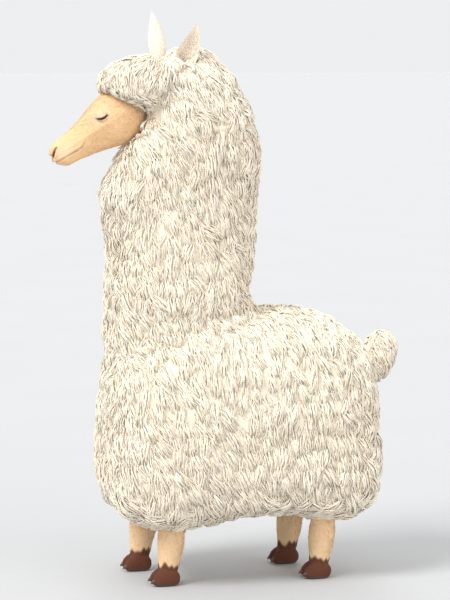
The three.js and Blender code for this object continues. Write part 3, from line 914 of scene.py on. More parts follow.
def planted(tree, given, points, length, bent_from):
    """Stands a hair on each point, along the point's own Aim and bending away from a direction."""
    astray = add(tree, "FunctionNodeRandomValue", {
        "Min": (-HAIR_ASTRAY,) * 3, "Max": (HAIR_ASTRAY,) * 3, "Seed": given["Seed"],
    }, data_type="FLOAT_VECTOR")
    way = vectors(tree, "ADD", named(tree, "Aim", "FLOAT_VECTOR"), astray)
    upright = add(tree, "FunctionNodeAlignRotationToVector", {"Vector": way}, axis="Z")
    turned = add(tree, "FunctionNodeAlignRotationToVector", {"Rotation": upright, "Vector": bent_from},
                 axis="Y", pivot_axis="Z")
    size = add(tree, "FunctionNodeRandomValue", {2: SHORTEST_HAIR, 3: 1.0, "Seed": given["Seed"]}, 1)
    long = arithmetic(tree, "MULTIPLY", size, length)
    scale = add(tree, "ShaderNodeCombineXYZ", {"X": given["Width"], "Y": given["Width"], "Z": long})
    shape = add(tree, "GeometryNodeObjectInfo", {"Object": given["Hair"]}, "Geometry")
    hairs = add(tree, "GeometryNodeInstanceOnPoints", {
        "Points": points, "Instance": shape, "Rotation": turned, "Scale": scale})
    return add(tree, "GeometryNodeRealizeInstances", {0: hairs})


def finished(tree, given, hairs):
    """Gives the hairs their material and ends the tree."""
    done = add(tree, "GeometryNodeSetMaterial", {"Geometry": hairs, "Material": given["Finish"]})
    add(tree, "NodeGroupOutput", {"Hairs": done})
    return tree


def lid_planting():
    """Geometry Nodes that stand a hair at each step of a guide line."""
    tree, given = new_tree("planted along a line", (
        ("Guide", "Geometry"), ("Hair", "Object"), ("Count", "Int"), ("Length", "Float"), ("Width", "Float"),
        ("Seed", "Int"), ("Finish", "Material")))
    line = add(tree, "GeometryNodeMeshToCurve", {0: given["Guide"]})
    steps = add(tree, "GeometryNodeResampleCurve", {"Curve": line, "Count": given["Count"]})
    return finished(tree, given, planted(tree, given, steps, given["Length"], (0, 0, -1)))


def grown(piece, tree, values):
    """Runs a Geometry Nodes tree on a piece and makes what it gives the piece's own mesh."""
    modifier = piece.modifiers.new("grow", "NODES")
    modifier.node_group = tree
    for item in tree.interface.items_tree:
        if item.in_out == "INPUT" and item.name in values:
            modifier[item.identifier] = values[item.name]
    return apply_modifiers(piece)


def lid_guide(name, side):
    """A line along the edge of the upper lid, which knows at each point where a lash aims."""
    along = np.linspace(-0.92, 0.98, GUIDE_STEPS)
    y, z = on_slit(along, SLIT["open"] * 0.75 * np.sqrt(1 - along ** 2))
    radius = EYE["radius"] + LID_THICKNESS * 0.6
    out = np.sqrt(np.maximum(radius ** 2 - (y - EYE["y"]) ** 2 - (z - EYE["z"]) ** 2, 1e-6))
    points = carried(np.stack([side * (EYE["x"] + out), y, z], axis=-1))
    guide = mesh_piece(name, points, [])
    guide.data.edges.add(len(points) - 1)
    guide.data.edges.foreach_set("vertices", [i for k in range(len(points) - 1) for i in (k, k + 1)])
    level_aim = np.stack([np.full(GUIDE_STEPS, side * 0.80), 0.55 * along - 0.18, -0.62 + 0.10 * along],
                         axis=-1)
    aims = carried(level_aim) - np.array(NOSE_PLACE)
    write_attribute(guide, "Aim", "FLOAT_VECTOR", unit(aims))
    return guide


def lash_finish():
    made, tree, shader, place = new_finish("lash")
    speckle = ranged(tree, noise(tree, place, 700.0), 0.3, 0.7, 0, 1)
    connect(tree, shader, {
        "Base Color": mixed(tree, speckle, LASH_DARK_AND_NOSTRIL_SHADE, [1.8 * c for c in LASH_DARK_AND_NOSTRIL_SHADE]), "Roughness": 0.45})
    return made


lash_hair = bent_hair("lash_hair", bend=9.0, heights=(0.0, 0.35, 0.70), girths=(0.5, 0.42, 0.26),
                      thickness=1.0)
planting = lid_planting()
lash_dark = lash_finish()
for hand, side in (("left", 1), ("right", -1)):
    lashes = grown(lid_guide(f"lashes_{hand}", side), planting, {
        "Hair": lash_hair, "Count": LASHES, "Length": LASH_LENGTH, "Width": LASH_WIDTH, "Seed": 3 + side,
        "Finish": lash_dark})
    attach(lashes, "root")
bpy.data.objects.remove(lash_hair)

# ---------------------------------------------------------------- nails
# Two small pointed nails of dark horn on each foot, one growing from the top of each toe's tip: rounded
# across, ridged along, thin at the worn point.
NAIL = {
    "half_width": 0.0098,
    "tip": 0.66,  # width of the point, as a share of the root's
    "depth": (0.0060, 0.0028),  # half depth at the point, and how much more it is at the root
    "inset": (0.0040, 0.0060),  # of the point's middle from the CAD nail's front and underside
    "rise": 0.0150,
    "arch": 0.0016,
    "ridge": 0.00022,
    "ridges": 9,
}
HORN = ((0.050, 0.032, 0.023), (0.120, 0.080, 0.055))
SCUFFED_HORN = (0.30, 0.22, 0.16)


def nail(name, node):
    """A nail where the CAD's nail is, tucked into the toe behind and arched down to its point."""
    low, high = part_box(node)
    middle = (low[0] + high[0]) / 2

    def place(share, turn):
        along, ring = squared(np.pi * (1 - share), 2.3)
        t = (1 + along) / 2
        side, up = squared(turn, 2.2)
        width = NAIL["half_width"] * (NAIL["tip"] + (1 - NAIL["tip"]) * np.sqrt(t))
        depth = NAIL["depth"][0] + NAIL["depth"][1] * t
        arch = low[2] + NAIL["inset"][1] + NAIL["rise"] * t ** 0.75 + NAIL["arch"] * np.sin(np.pi * t)
        ridge = NAIL["ridge"] * np.cos(NAIL["ridges"] * turn) * (up > 0)
        x = middle + (width + ridge) * ring * side
        y = low[1] + NAIL["inset"][0] + (high[1] - low[1]) * t
        return x, y, arch + (depth + ridge) * ring * up

    return closed_ball(name, 28, 21, place)


def horn_finish():
    """Dark horn, streaked from root to point, scuffed pale and rough in places."""
    made, tree, shader, place = new_finish("horn")
    growth = noise(tree, drawn_out(tree, place, (900, 60, 160)), detail=3.0)
    scuffs = noise(tree, place, 260.0, 4.0)
    streaks = mixed(tree, ranged(tree, growth, 0.35, 0.7, 0, 1), HORN[0], HORN[1])
    connect(tree, shader, {
        "Base Color": mixed(tree, ranged(tree, scuffs, 0.58, 0.72, 0, 0.55), streaks, SCUFFED_HORN),
        "Roughness": ranged(tree, scuffs, 0.4, 0.7, 0.32, 0.62),
        "Normal": bump(tree, growth, 0.5, 0.0005)})
    return made


horn = horn_finish()
for leg_name in LEG_FEET:
    for toe_side in ("inner", "outer"):
        horn_tip = nail(f"horn_{leg_name}_{toe_side}", f"nail_{leg_name}_{toe_side}")
        horn_tip.data.materials.append(horn)
        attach(horn_tip, "root")
        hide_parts(f"nail_{leg_name}_{toe_side}")

# ---------------------------------------------------------------- fleece
# Long soft wool that grows in staples: puffs of thin wavy locks that lean over along the lie of the coat
# and curl under at their tips, as far out as the fleece's outline, over a dense bed of underwool.
FLEECE_NODES = ("trunk", "neck", "topknot", "tail", *(f"leg_{name}" for name in LEG_FEET))
SEED = 7
OUTLINE_GRAIN, OUTLINE_ROUNDS = 0.010, 6
GROWTH = 0.0010
CREASE = {"width": 0.12, "rounds": 130}
HEM, THIGH = 0.158, 0.400  # no fleece grows below the hem, and no thin fleece below the thigh
BARE_BELOW = 0.008  # where the coat is thinner than this the skin carries short hair
NECK_CUT = ((0, 0.072, 0.872), (0, -0.3, 1))
NAPE_CUT = ((0, -0.218, 1.492), (0, 0.28, 1))
TAIL_BALL = {"centre": (0, 0.508, 0.692), "radii": (0.072, 0.068, 0.102)}
CROWN = (0, -0.210, 1.690)  # the wool of the topknot lies away from here
TOPKNOT_ABOVE = 1.56
BY_FACE = {"above": 1.28, "ahead": -0.26}  # the fleece round the face, and the outline round it
BY_CHEEK = {"above": 1.20, "ahead": -0.20}
RIM_DEPTH = 0.034  # around the face the wool is shorter than this
SCATTERED = 50000  # places from which those of the staples are picked
ZONES = {  # spacing of the staples, locks in each, half width of a lock, how far it may stand proud of the
    # outline, and how many pieces the main and the smaller staples are split into
    "trunk": {"spacing": 0.044, "locks": 34, "half_width": 0.0030, "proud": 0, "pieces": (4, 3)},
    "neck": {"spacing": 0.042, "locks": 34, "half_width": 0.0029, "proud": 0, "pieces": (2, 2)},
    "topknot": {"spacing": 0.036, "locks": 33, "half_width": 0.0029, "proud": 0, "pieces": (1, 1)},
    "rim": {"spacing": 0.022, "locks": 24, "half_width": 0.0022, "proud": 0.014, "pieces": (1, 1)},
    "tail": {"spacing": 0.031, "locks": 32, "half_width": 0.0025, "proud": 0, "pieces": (1, 1)},
}
STAPLE_GIRTH, STAPLE_LENGTH = 0.64, 1.12  # as shares of the spacing
STAPLE_THIN = 0.46  # its girth at most, as a share of the coat's depth
STAPLE_SUNK = 0.84  # how far its middle line lies under the outline, as a share of its girth
STAPLE_CURVE = (  # its middle line's control points: along, by the length, and outward, by the girth
    (-0.75, -1.10), (-0.50, 0.30), (0.40, 0.35), (0.98, -1.50),
)
STAPLE_ASTRAY = 0.26
STAPLE_SPREAD = {"girth": (0.86, 1.08), "length": (0.85, 1.15), "sunk": (0, 0.008), "tone": 0.022}
CROWDING = {  # how much closer the staples stand at the foot of the neck and round the tail, and how far
    "share": 0.26, "neck": 0.05, "dock": 0.06,
}
BETWEEN = {  # the smaller staples in the gaps: shares of the spacing and locks, and how much deeper
    "spacing": 0.64, "locks": 0.62, "sunk": 0.009,
}
LOCK_RINGS = 3
LOCK_SIDES = 3
LOCK_FLATNESS = 0.42
LOCK_START, LOCK_RUN = (0.0, 0.50), (0.50, 0.66)  # where a lock starts and how long it is, for its staple
LOCK_FLANK = 88  # how far round the staple locks lie, in degrees each way
LOCK_WAVE = 0.0030  # how far a lock swings to each side on a staple of the common girth
COMMON_GIRTH = 0.024
LOCK_FRAY = 0.0034
LOCK_SPREAD = {"flank": 9, "reach": (0.90, 1.03), "width": (0.70, 1.25), "twist": 0.5, "tone": 0.035}
LOCK_WAVES = (0.9, 1.6)  # along a lock
BED_BELOW = 0.0085  # how far the underwool lies under the locks
BED_SWELL = {  # how it swells over each staple: how far ahead of its head, and by its length and girth
    "ahead": 0.05, "along": 0.56, "across": 1.05, "crown": 0.94,
}
BARE_INSET = 0.016
MOST_INSET = 0.42  # as a share of the way through the body
BED_TONE, BED_WARMTH = 0.97, 0.8
PATCH = 0.003  # each lock's place in the unwrap


def cad_copy(node):
    """A copy of a CAD node's shape, grown by a hair so that it runs into its neighbours."""
    made = bpy.data.objects.new(f"{node}_outline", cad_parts[node].data.copy())
    work = bmesh.new()
    work.from_mesh(made.data)
    bmesh.ops.remove_doubles(work, verts=work.verts[:], dist=1e-5)
    work.normal_update()
    for vertex in work.verts:
        vertex.co += vertex.normal * GROWTH
    work.to_mesh(made.data)
    work.free()
    bpy.context.scene.collection.objects.link(made)
    return made


def beyond(p, cut):
    """How far each point lies beyond a cutting plane."""
    point, normal = (np.array(part, float) for part in cut)
    return (p - point) @ (normal / np.linalg.norm(normal))


def fill_crease(piece, cut, width, rounds):
    """Fills a crease that runs along a cutting plane, where the wool of two parts grows into one."""
    before, outward = read_points(piece), read_points(piece, "normal")
    group = piece.vertex_groups.new(name="crease")
    for i, share in enumerate(gaussian(beyond(before, cut), width)):
        group.add([i], share, "REPLACE")
    smooth = piece.modifiers.new("crease", "SMOOTH")
    smooth.factor = 0.5
    smooth.iterations = rounds
    smooth.vertex_group = "crease"
    apply_modifiers(piece)
    after = read_points(piece)
    filled = ((after - before) * outward).sum(1, keepdims=True) > 0
    move_points(piece, np.where(filled, after, before))


def read_whole(items, key, each=1):
    """Whole numbers that are kept for each of a mesh's corners or triangles."""
    values = np.empty(len(items) * each, np.int32)
    items.foreach_get(key, values)
    return values


class Surface:
    """A mesh's triangles, to scatter points on and to look up the nearest place."""

    def __init__(self, piece):
        mesh = piece.data
        mesh.calc_loop_triangles()
        corners = read_whole(mesh.loop_triangles, "vertices", 3)
        loops = read_whole(mesh.loop_triangles, "loops", 3)
        points = read_points(piece)
        flat = np.zeros(len(mesh.loops) * 2)
        if UNWRAP in mesh.uv_layers:
            mesh.uv_layers[UNWRAP].data.foreach_get("uv", flat)
        self.points = points[corners].reshape(-1, 3, 3)
        self.normals = read_points(piece, "normal")[corners].reshape(-1, 3, 3)
        self.unwrapped = flat.reshape(-1, 2)[loops].reshape(-1, 3, 2)
        edges = np.cross(self.points[:, 1] - self.points[:, 0], self.points[:, 2] - self.points[:, 0])
        self.areas = np.linalg.norm(edges, axis=1) / 2
        self.tree = BVHTree.FromPolygons(points.tolist(), corners.reshape(-1, 3).tolist())

    def at(self, triangles, shares):
        """Place, outward direction and unwrapped place, at shares of the corners of triangles."""
        place = np.einsum("nk,nkc->nc", shares, self.points[triangles])
        outward = unit(np.einsum("nk,nkc->nc", shares, self.normals[triangles]))
        return place, outward, np.einsum("nk,nkc->nc", shares, self.unwrapped[triangles])

    def scatter(self, count, chance):
        """count random places, as even as the triangles' areas."""
        triangles = chance.choice(len(self.areas), count, p=self.areas / self.areas.sum())
        shares = chance.dirichlet((1, 1, 1), count)
        return self.at(triangles, shares)

    def nearest(self, points):
        """The surface's place nearest to each point."""
        found = [self.tree.find_nearest(Vector(p)) for p in points]
        triangles = np.array([f[2] for f in found])
        place = np.array([f[0] for f in found])
        a, b, c = self.points[triangles].transpose(1, 0, 2)
        whole = np.cross(b - a, c - a)
        size = np.maximum((whole ** 2).sum(1), 1e-20)
        share_b = (np.cross(place - a, c - a) * whole).sum(1) / size
        share_c = (np.cross(b - a, place - a) * whole).sum(1) / size
        return self.at(triangles, np.stack([1 - share_b - share_c, share_b, share_c], axis=1))


def on_tail(p):
    ball = (p - np.array(TAIL_BALL["centre"])) / np.array(TAIL_BALL["radii"])
    return (ball ** 2).sum(1) < 1


def near_face(p, above, ahead):
    return (p[:, 2] > above) & (p[:, 1] < ahead)


def zone_names(p, depth):
    """Which part of the fleece each place belongs to."""
    names = np.full(len(p), "trunk", object)
    names[beyond(p, NECK_CUT) > 0] = "neck"
    names[(beyond(p, NAPE_CUT) > 0) | (p[:, 2] > TOPKNOT_ABOVE)] = "topknot"
    names[near_face(p, **BY_FACE) & (depth < RIM_DEPTH)] = "rim"
    names[on_tail(p)] = "tail"
    return names


def coat_lie(p, outward):
    """Which way the wool lies at each place: down the sides, parted on the back, away from the crown."""
    x, y, z = p.T
    side = np.tanh(x / 0.02)
    flow = np.zeros_like(p)
    flow[:, 0] = 0.16 * np.sin(11 * z + 5 * y)
    flow[:, 1] = 0.22 + 0.18 * np.sin(9 * y + 7 * z)
    flow[:, 2] = -1
    level = np.clip(np.abs(outward[:, 2]), 0, 1) ** 2
    flow[:, 0] += 1.6 * level * side
    flow[:, 1] += 0.5 * level
    away = unit(p - np.array(CROWN)) + np.array([0, 0, -0.35])
    crown = ease(beyond(p, NAPE_CUT), -0.01, 0.06)[:, None]
    flow = flow * (1 - crown) + away * 1.4 * crown
    flow = np.where(on_tail(p)[:, None], np.array([0, 0.35, -0.9]) + 0.4 * outward, flow)
    return unit(flow - outward * (flow * outward).sum(1, keepdims=True))


def spread_out(places, spacing):
    """Indices of places that keep at least their own spacing to those kept before."""
    kept = []
    cells = {}
    size = spacing.max()
    for i, p in enumerate(places):
        cell = tuple((p // size).astype(int))
        close = False
        for dx in (-1, 0, 1):
            for dy in (-1, 0, 1):
                for dz in (-1, 0, 1):
                    for j in cells.get((cell[0] + dx, cell[1] + dy, cell[2] + dz), ()):
                        if ((places[j] - p) ** 2).sum() < spacing[i] ** 2:
                            close = True
        if not close:
            cells.setdefault(cell, []).append(i)
            kept.append(i)
    return np.array(kept)


def strand_points(strands, sides, flatness):
    """The points of each strand: its rings of sides, then its root and its tip."""
    paths, girths = strands["paths"], strands["girths"][:, 1:-1, None]
    along = unit(np.gradient(paths, axis=1))
    across = unit(np.cross(strands["facing"], along))
    above = np.cross(along, across)
    angle = 2 * np.pi * np.arange(sides) / sides + np.pi / 2 + strands["twist"][:, 1:-1, None]
    body = (paths[:, 1:-1, None] + (girths * np.cos(angle))[..., None] * across[:, 1:-1, None]
            + (flatness * girths * np.sin(angle))[..., None] * above[:, 1:-1, None])
    return np.concatenate([body.reshape(len(paths), -1, 3), paths[:, :1], paths[:, -1:]], axis=1)


def strand_faces(sides, rings):
    """The corners of one strand's faces: quads from ring to ring, then fans at its root and its tip."""
    k = np.arange(sides)
    k_next = (k + 1) % sides
    ring = np.arange(rings - 3)[:, None] * sides
    top, root = (rings - 3) * sides, (rings - 2) * sides
    quads = np.stack([ring + k, ring + k_next, ring + sides + k_next, ring + sides + k], axis=-1)
    root_fan = np.stack([k_next, k, np.full(sides, root)], axis=-1)
    tip_fan = np.stack([top + k, top + k_next, np.full(sides, root + 1)], axis=-1)
    return quads, root_fan, tip_fan


def strand_map(sides, rings):
    """The same corners in a unit square, with the strand's sides side by side."""
    step = 1 / (rings - 1)
    u = np.arange(sides)[:, None] / sides
    v = (np.arange(rings - 3)[:, None] + 1) / (rings - 1)
    across = np.concatenate([u, u + 1 / sides, u + 1 / sides, u], axis=1)
    along = np.concatenate([v, v, v + step, v + step], axis=1)
    quads = np.stack(np.broadcast_arrays(across[None], along[:, None]), axis=-1)
    root_fan = np.stack([np.concatenate([u + 1 / sides, u, u + 0.5 / sides], axis=1),
                         np.tile([step, step, 0], (sides, 1))], axis=-1)
    tip_fan = np.stack([np.concatenate([u, u + 1 / sides, u + 0.5 / sides], axis=1),
                        np.tile([1 - step, 1 - step, 1], (sides, 1))], axis=-1)
    return quads, root_fan, tip_fan


def strand_piece(name, strands, sides, flatness):
    """Strands as one mesh. Each is closed, pointed at both ends and lies along its own path."""
    count, rings = strands["paths"].shape[:2]
    points = strand_points(strands, sides, flatness)
    per = points.shape[1]
    faces = strand_faces(sides, rings)
    first = (np.arange(count) * per)[:, None]
    corners = np.concatenate([(first + part.reshape(1, -1)).ravel() for part in faces])
    quad_count, fan_count = count * faces[0].size // 4, count * sides * 2
    mesh = bpy.data.meshes.new(name)
    mesh.vertices.add(count * per)
    mesh.vertices.foreach_set("co", points.ravel())
    mesh.loops.add(len(corners))
    mesh.loops.foreach_set("vertex_index", corners.astype(np.int32))
    mesh.polygons.add(quad_count + fan_count)
    starts = np.concatenate([np.arange(quad_count) * 4, quad_count * 4 + np.arange(fan_count) * 3])
    mesh.polygons.foreach_set("loop_start", starts.astype(np.int32))
    mesh.update(calc_edges=True)
    mesh.polygons.foreach_set("use_smooth", np.ones(len(mesh.polygons), bool))
    # each strand has its own small patch of the unwrap, at its root's place in the skin's
    for layer_name, corner, size in ((UNWRAP, strands["unwrapped"] - PATCH / 2, PATCH),
                                     ("Strand", np.zeros((count, 2)), 1.0)):
        flat = [(corner[:, None] + size * part.reshape(1, -1, 2)).ravel()
                for part in strand_map(sides, rings)]
        mesh.uv_layers.new(name=layer_name).data.foreach_set("uv", np.concatenate(flat))
    colours = strands["colours"]
    ring_colours = np.repeat(colours[:, 1:-1], sides, axis=1)
    piece = bpy.data.objects.new(name, mesh)
    write_attribute(piece, "Coat", "FLOAT_COLOR",
                    np.concatenate([ring_colours, colours[:, :1], colours[:, -1:]], axis=1).reshape(-1, 3))
    bpy.context.scene.collection.objects.link(piece)
    return piece


def wool_colours(tone, warmth, t):
    """Cream wool, painted a little darker towards the roots and where the underwool lies deep, as shade down
    in the fleece, and yellower as its warmth says. One colour for each point of each strand.
    """
    # painted shade: the colour is a little darker at low t, at the roots of the locks and deep in the
    # underwool
    light = tone * (0.96 + 0.04 * ease(t, 0.0, 0.8))
    channels = [light * c * (1 - w * warmth * 0.05) for c, w in zip(CREAM, (0.2, 1.0, 2.2))]
    return np.clip(np.stack(channels, axis=-1), 0, 1)


def bezier(corners, t):
    """Points at shares t along each curve, from its four control points."""
    a, b, c, d = (corner[:, None] for corner in corners)
    t = t[..., None]
    return a * (1 - t) ** 3 + 3 * b * t * (1 - t) ** 2 + 3 * c * t ** 2 * (1 - t) + d * t ** 3


def kept_inside(paths, margin):
    """Draws each lock back to the fleece's outline where it would stand out of it."""
    for lock in paths:
        for i in range(1, len(lock)):
            p = Vector(lock[i])
            near, facing, _, _ = outline_surface.tree.find_nearest(p)
            if (p - near).dot(facing) + margin > 0:
                lock[i] = near - facing * margin
    return paths


chance = np.random.default_rng(SEED)
skin_surface = Surface(skin)
outline = melted("outline", [cad_copy(node) for node in FLEECE_NODES], OUTLINE_GRAIN,
                 OUTLINE_ROUNDS)
fill_crease(outline, NECK_CUT, **CREASE)
outline_surface = Surface(outline)
heads, outwards, _ = outline_surface.scatter(SCATTERED, chance)
roots, bare_out, unwraps = skin_surface.nearest(heads)
depths = np.linalg.norm(heads - roots, axis=1)
over_skin = ((heads - roots) * outwards).sum(1) > -0.3 * depths
by_face = near_face(heads, **BY_CHEEK) & (((heads - roots) * bare_out).sum(1) > 0.3 * depths)
woolly = (depths > BARE_BELOW) & (over_skin | by_face)
woolly &= (heads[:, 2] > HEM) & ((heads[:, 2] > THIGH) | (depths > 2 * BARE_BELOW))
heads, outwards, roots, unwraps, depths = (a[woolly] for a in (heads, outwards, roots, unwraps, depths))
zones = zone_names(heads, depths)
spacing = np.array([ZONES[zone]["spacing"] for zone in zones])
from_dock = np.linalg.norm(heads - DOCK_MASS["centre"], axis=1)
crowded = np.maximum(gaussian(beyond(heads, NECK_CUT), CROWDING["neck"]),
                     gaussian(from_dock, CROWDING["dock"]))
spacing *= 1 - CROWDING["share"] * crowded
# the main staples, then smaller ones that keep clear of them and fill the gaps
staples = spread_out(heads, spacing)
fill = spread_out(np.concatenate([heads[staples], heads]),
                  np.concatenate([np.zeros(len(staples)), BETWEEN["spacing"] * spacing]))
fill = fill[len(staples):] - len(staples)
lower = np.repeat([0, 1], [len(staples), len(fill)])
staples = np.concatenate([staples, fill])


def staple_forms(which):
    """The plump form of each staple: its middle line, its girth, how far that line is sunk below the
    outline, and the directions it lies in."""
    count = len(which)
    head, out, depth, root = heads[which], outwards[which], depths[which], roots[which]
    lie = coat_lie(head, out)
    astray = chance.normal(0, STAPLE_ASTRAY, count)[:, None]
    lie = unit(lie * np.cos(astray) + np.cross(out, lie) * np.sin(astray))
    girth = np.minimum(STAPLE_GIRTH * spacing[which], STAPLE_THIN * depth)
    girth = girth * chance.uniform(*STAPLE_SPREAD["girth"], count)
    length = STAPLE_LENGTH * spacing[which] * chance.uniform(*STAPLE_SPREAD["length"], count)
    g, long = girth[:, None], length[:, None]
    sunk = STAPLE_SUNK * g + chance.uniform(*STAPLE_SPREAD["sunk"], (count, 1))
    sunk = sunk + BETWEEN["sunk"] * lower[:, None]
    hanging = (zones[which] == "rim")[:, None]
    axis = []
    for ahead, rise in STAPLE_CURVE:
        straight = head + lie * ahead * long - out * (sunk - rise * g)
        near, facing, _ = outline_surface.nearest(straight)
        buried = ((near - straight) * facing).sum(1, keepdims=True) > sunk - rise * g
        axis.append(np.where(buried, near - facing * (sunk - rise * g), straight))
    loose = axis[2] + lie * 0.75 * long - out * 0.2 * g
    axis[3] = np.where(hanging, loose, axis[3])
    return {
        "axis": np.stack(axis, axis=1), "girth": girth, "length": length, "sunk": sunk[:, 0],
        "out": out, "lie": lie, "top": head - out * sunk, "root": root,
        "tone": chance.normal(1, STAPLE_SPREAD["tone"], count),
    }


def staple_locks(forms, per, half_width, proud):
    """Thin wavy locks over the outer side of each staple, drawn together and frayed at its tip."""
    count = len(forms["girth"]) * per
    girth, out, root, tone = (np.repeat(forms[key], per, axis=0)
                              for key in ("girth", "out", "root", "tone"))
    axis = np.repeat(forms["axis"], per, axis=0).transpose(1, 0, 2)
    first = chance.uniform(*LOCK_START, count)
    last = np.minimum(first + chance.uniform(*LOCK_RUN, count), 1.02)
    step = np.linspace(0, 1, LOCK_RINGS + 2)
    t = first[:, None] + (last - first)[:, None] * step
    paths = bezier(axis, t)
    ahead = unit(bezier(axis, t + 0.02) - bezier(axis, t - 0.02))
    across = unit(np.cross(ahead, out[:, None]))
    above = np.cross(across, ahead)
    # around the staple, from one flank over its outer side to the other
    flanks = np.tile(np.linspace(-LOCK_FLANK, LOCK_FLANK, per), len(forms["girth"]))
    turn = np.radians(flanks + chance.normal(0, LOCK_SPREAD["flank"], count))
    plump = np.sqrt(np.clip(1 - ((t - 0.55) / 0.56) ** 4, 0.06, 1))
    reach = (girth * chance.uniform(*LOCK_SPREAD["reach"], count))[:, None] * plump
    waves = chance.uniform(*LOCK_WAVES, count)[:, None] * step
    wave = 2 * np.pi * (waves + chance.uniform(0, 1, count)[:, None])
    swing = (LOCK_WAVE * np.sqrt(girth / COMMON_GIRTH))[:, None] * np.sin(wave)
    turns = turn[:, None] + swing / np.maximum(reach, 0.006)
    facing = unit(np.sin(turns)[..., None] * across + np.cos(turns)[..., None] * above)
    fray = chance.normal(0, LOCK_FRAY, (count, 3))[:, None] * (ease(step, 0.5, 1) ** 1.5)[None, :, None]
    paths = kept_inside(paths + reach[..., None] * facing + fray, half_width * 0.5 - proud)
    widths = half_width * chance.uniform(*LOCK_SPREAD["width"], count)
    girths = widths[:, None] * (0.55 + 0.45 * ease(step, 0, 0.4)) * (1 - 0.5 * ease(step, 0.6, 1.0))
    _, _, unwrapped = skin_surface.nearest(root + 0.4 * reach[:, :1] * facing[:, 0])
    twist = chance.normal(0, LOCK_SPREAD["twist"], count)[:, None] * (step - 0.5)
    tone = (tone * chance.normal(1, LOCK_SPREAD["tone"], count))[:, None]
    # painted shade: each lock is darker towards its root, deep in its staple
    colours = wool_colours(tone, chance.uniform(0, 1, count)[:, None], t)
    return {"paths": paths, "girths": girths, "facing": facing, "twist": twist, "unwrapped": unwrapped,
            "colours": colours}


def trim_below(piece, height):
    """Cuts a closed piece off at a height and closes the cut."""
    work = bmesh.new()
    work.from_mesh(piece.data)
    bmesh.ops.bisect_plane(work, geom=work.verts[:] + work.edges[:] + work.faces[:],
                           plane_co=(0, 0, height), plane_no=(0, 0, 1), clear_inner=True)
    bmesh.ops.holes_fill(work, edges=[edge for edge in work.edges if edge.is_boundary])
    bmesh.ops.triangulate(work, faces=[face for face in work.faces if len(face.verts) > 4])
    work.to_mesh(piece.data)
    work.free()


def bed_of_wool(forms):
    """The underwool: one soft closed surface that swells into each staple and dips between them."""
    bed = outline
    bed.name = "underwool"
    points, normals = read_points(bed), read_points(bed, "normal")
    middles = forms["top"] + forms["lie"] * BED_SWELL["ahead"] * forms["length"][:, None]
    finder = KDTree(len(middles))
    for i, middle in enumerate(middles):
        finder.insert(middle, i)
    finder.balance()
    near = np.array([[i for _, i, _ in finder.find_n(p, 4)] for p in points])
    gap = points[:, None] - middles[near]
    lie = forms["lie"][near]
    along = (gap * lie).sum(-1)
    across = (gap * np.cross(forms["out"][near], lie)).sum(-1)
    girth = forms["girth"][near]
    share = np.hypot(across / (BED_SWELL["across"] * girth),
                     along / (BED_SWELL["along"] * forms["length"][near]))
    swell = np.sqrt(1 - BED_SWELL["crown"] * np.clip(share, 0, 1) ** 2)
    insets = forms["sunk"][near] - (girth - BED_BELOW) * swell
    inset = np.maximum(insets.min(axis=1), BED_BELOW)
    # nearly bare legs keep a plain inset, and no thin place is turned inside out
    through = np.array([outline_surface.tree.ray_cast(Vector(p - 1e-4 * n), Vector(-n))[3] or 1.0
                        for p, n in zip(points, normals)])
    depth = np.linalg.norm(skin_surface.nearest(points)[0] - points, axis=1)
    bare = (points[:, 2] < THIGH) & (depth < 2 * BARE_BELOW)
    inset = np.minimum(np.where(bare, BARE_INSET, inset), MOST_INSET * through)
    bed.data.vertices.foreach_set("co", (points - normals * inset[:, None]).ravel())
    tone, warmth = np.full(len(points), BED_TONE), np.full(len(points), BED_WARMTH)
    # painted shade: the deeper the underwool lies, the darker it is painted
    write_attribute(bed, "Coat", "FLOAT_COLOR", wool_colours(tone, warmth, 1 - inset / 0.03))
    trim_below(bed, HEM)
    bed.data.polygons.foreach_set("use_smooth", [True] * len(bed.data.polygons))
    bed.data.update()
    unwrap(bed)
    x, y, z = read_points(bed)[read_whole(bed.data.loops, "vertex_index")].T
    strand = np.stack([25 * (x + y), 3 * z], axis=1)
    bed.data.uv_layers.new(name="Strand").data.foreach_set("uv", strand.ravel())
    return bed


fleece = []
forms = staple_forms(staples)
for zone, level in itertools.product(ZONES, (0, 1)):
    plan = ZONES[zone]
    members = np.flatnonzero((zones[staples] == zone) & (lower == level))
    # split into pieces along the body and by side, or by height
    places = heads[staples[members]]
    key = places[:, 1] + 10 * (places[:, 0] > 0) if zone == "trunk" else places[:, 2]
    members = members[np.argsort(key)]
    per = round(plan["locks"] * (BETWEEN["locks"] if level else 1))
    for part, which in enumerate(np.array_split(members, plan["pieces"][level])):
        some = {name: values[which] for name, values in forms.items()}
        locks = staple_locks(some, per, plan["half_width"], plan["proud"])
        name = f"fleece_{zone}_{('over', 'under')[level]}_{part + 1}"
        fleece.append(strand_piece(name, locks, LOCK_SIDES, LOCK_FLATNESS))
fleece.append(bed_of_wool(forms))


def wool_finish():
    """Fine crimped fibres along each lock, matte and soft, a little darker between the fibres."""
    made, tree, shader, place = new_finish("wool")
    coat = attribute(tree, "Coat", "Color")
    along_lock = drawn_out(tree, add(tree, "ShaderNodeUVMap", uv_map="Strand"), (20, 2.2, 1))
    apart = drawn_out(tree, place, (30, 30, 30))
    fibres = noise(tree, vectors(tree, "ADD", along_lock, apart), detail=3.0)
    deeper = mixed(tree, 1.0, coat, (0.82, 0.75, 0.65), "MULTIPLY")
    streaked = mixed(tree, ranged(tree, fibres, 0.36, 0.60, 0.26, 0.0), coat, deeper)
    mottle = ranged(tree, noise(tree, place, 9.0), 0.45, 0.70, 0.0, 0.10)
    fine = bump(tree, fibres, 0.65, 0.0010)
    connect(tree, shader, {
        "Base Color": mixed(tree, mottle, streaked, deeper),
        "Normal": bump(tree, noise(tree, place, 420.0), 0.35, 0.0010, fine),
        "Roughness": 0.88, "Specular IOR Level": 0.20})
    return made


wool = wool_finish()
for piece in fleece:
    piece.data.materials.append(wool)
    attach(piece, "root")

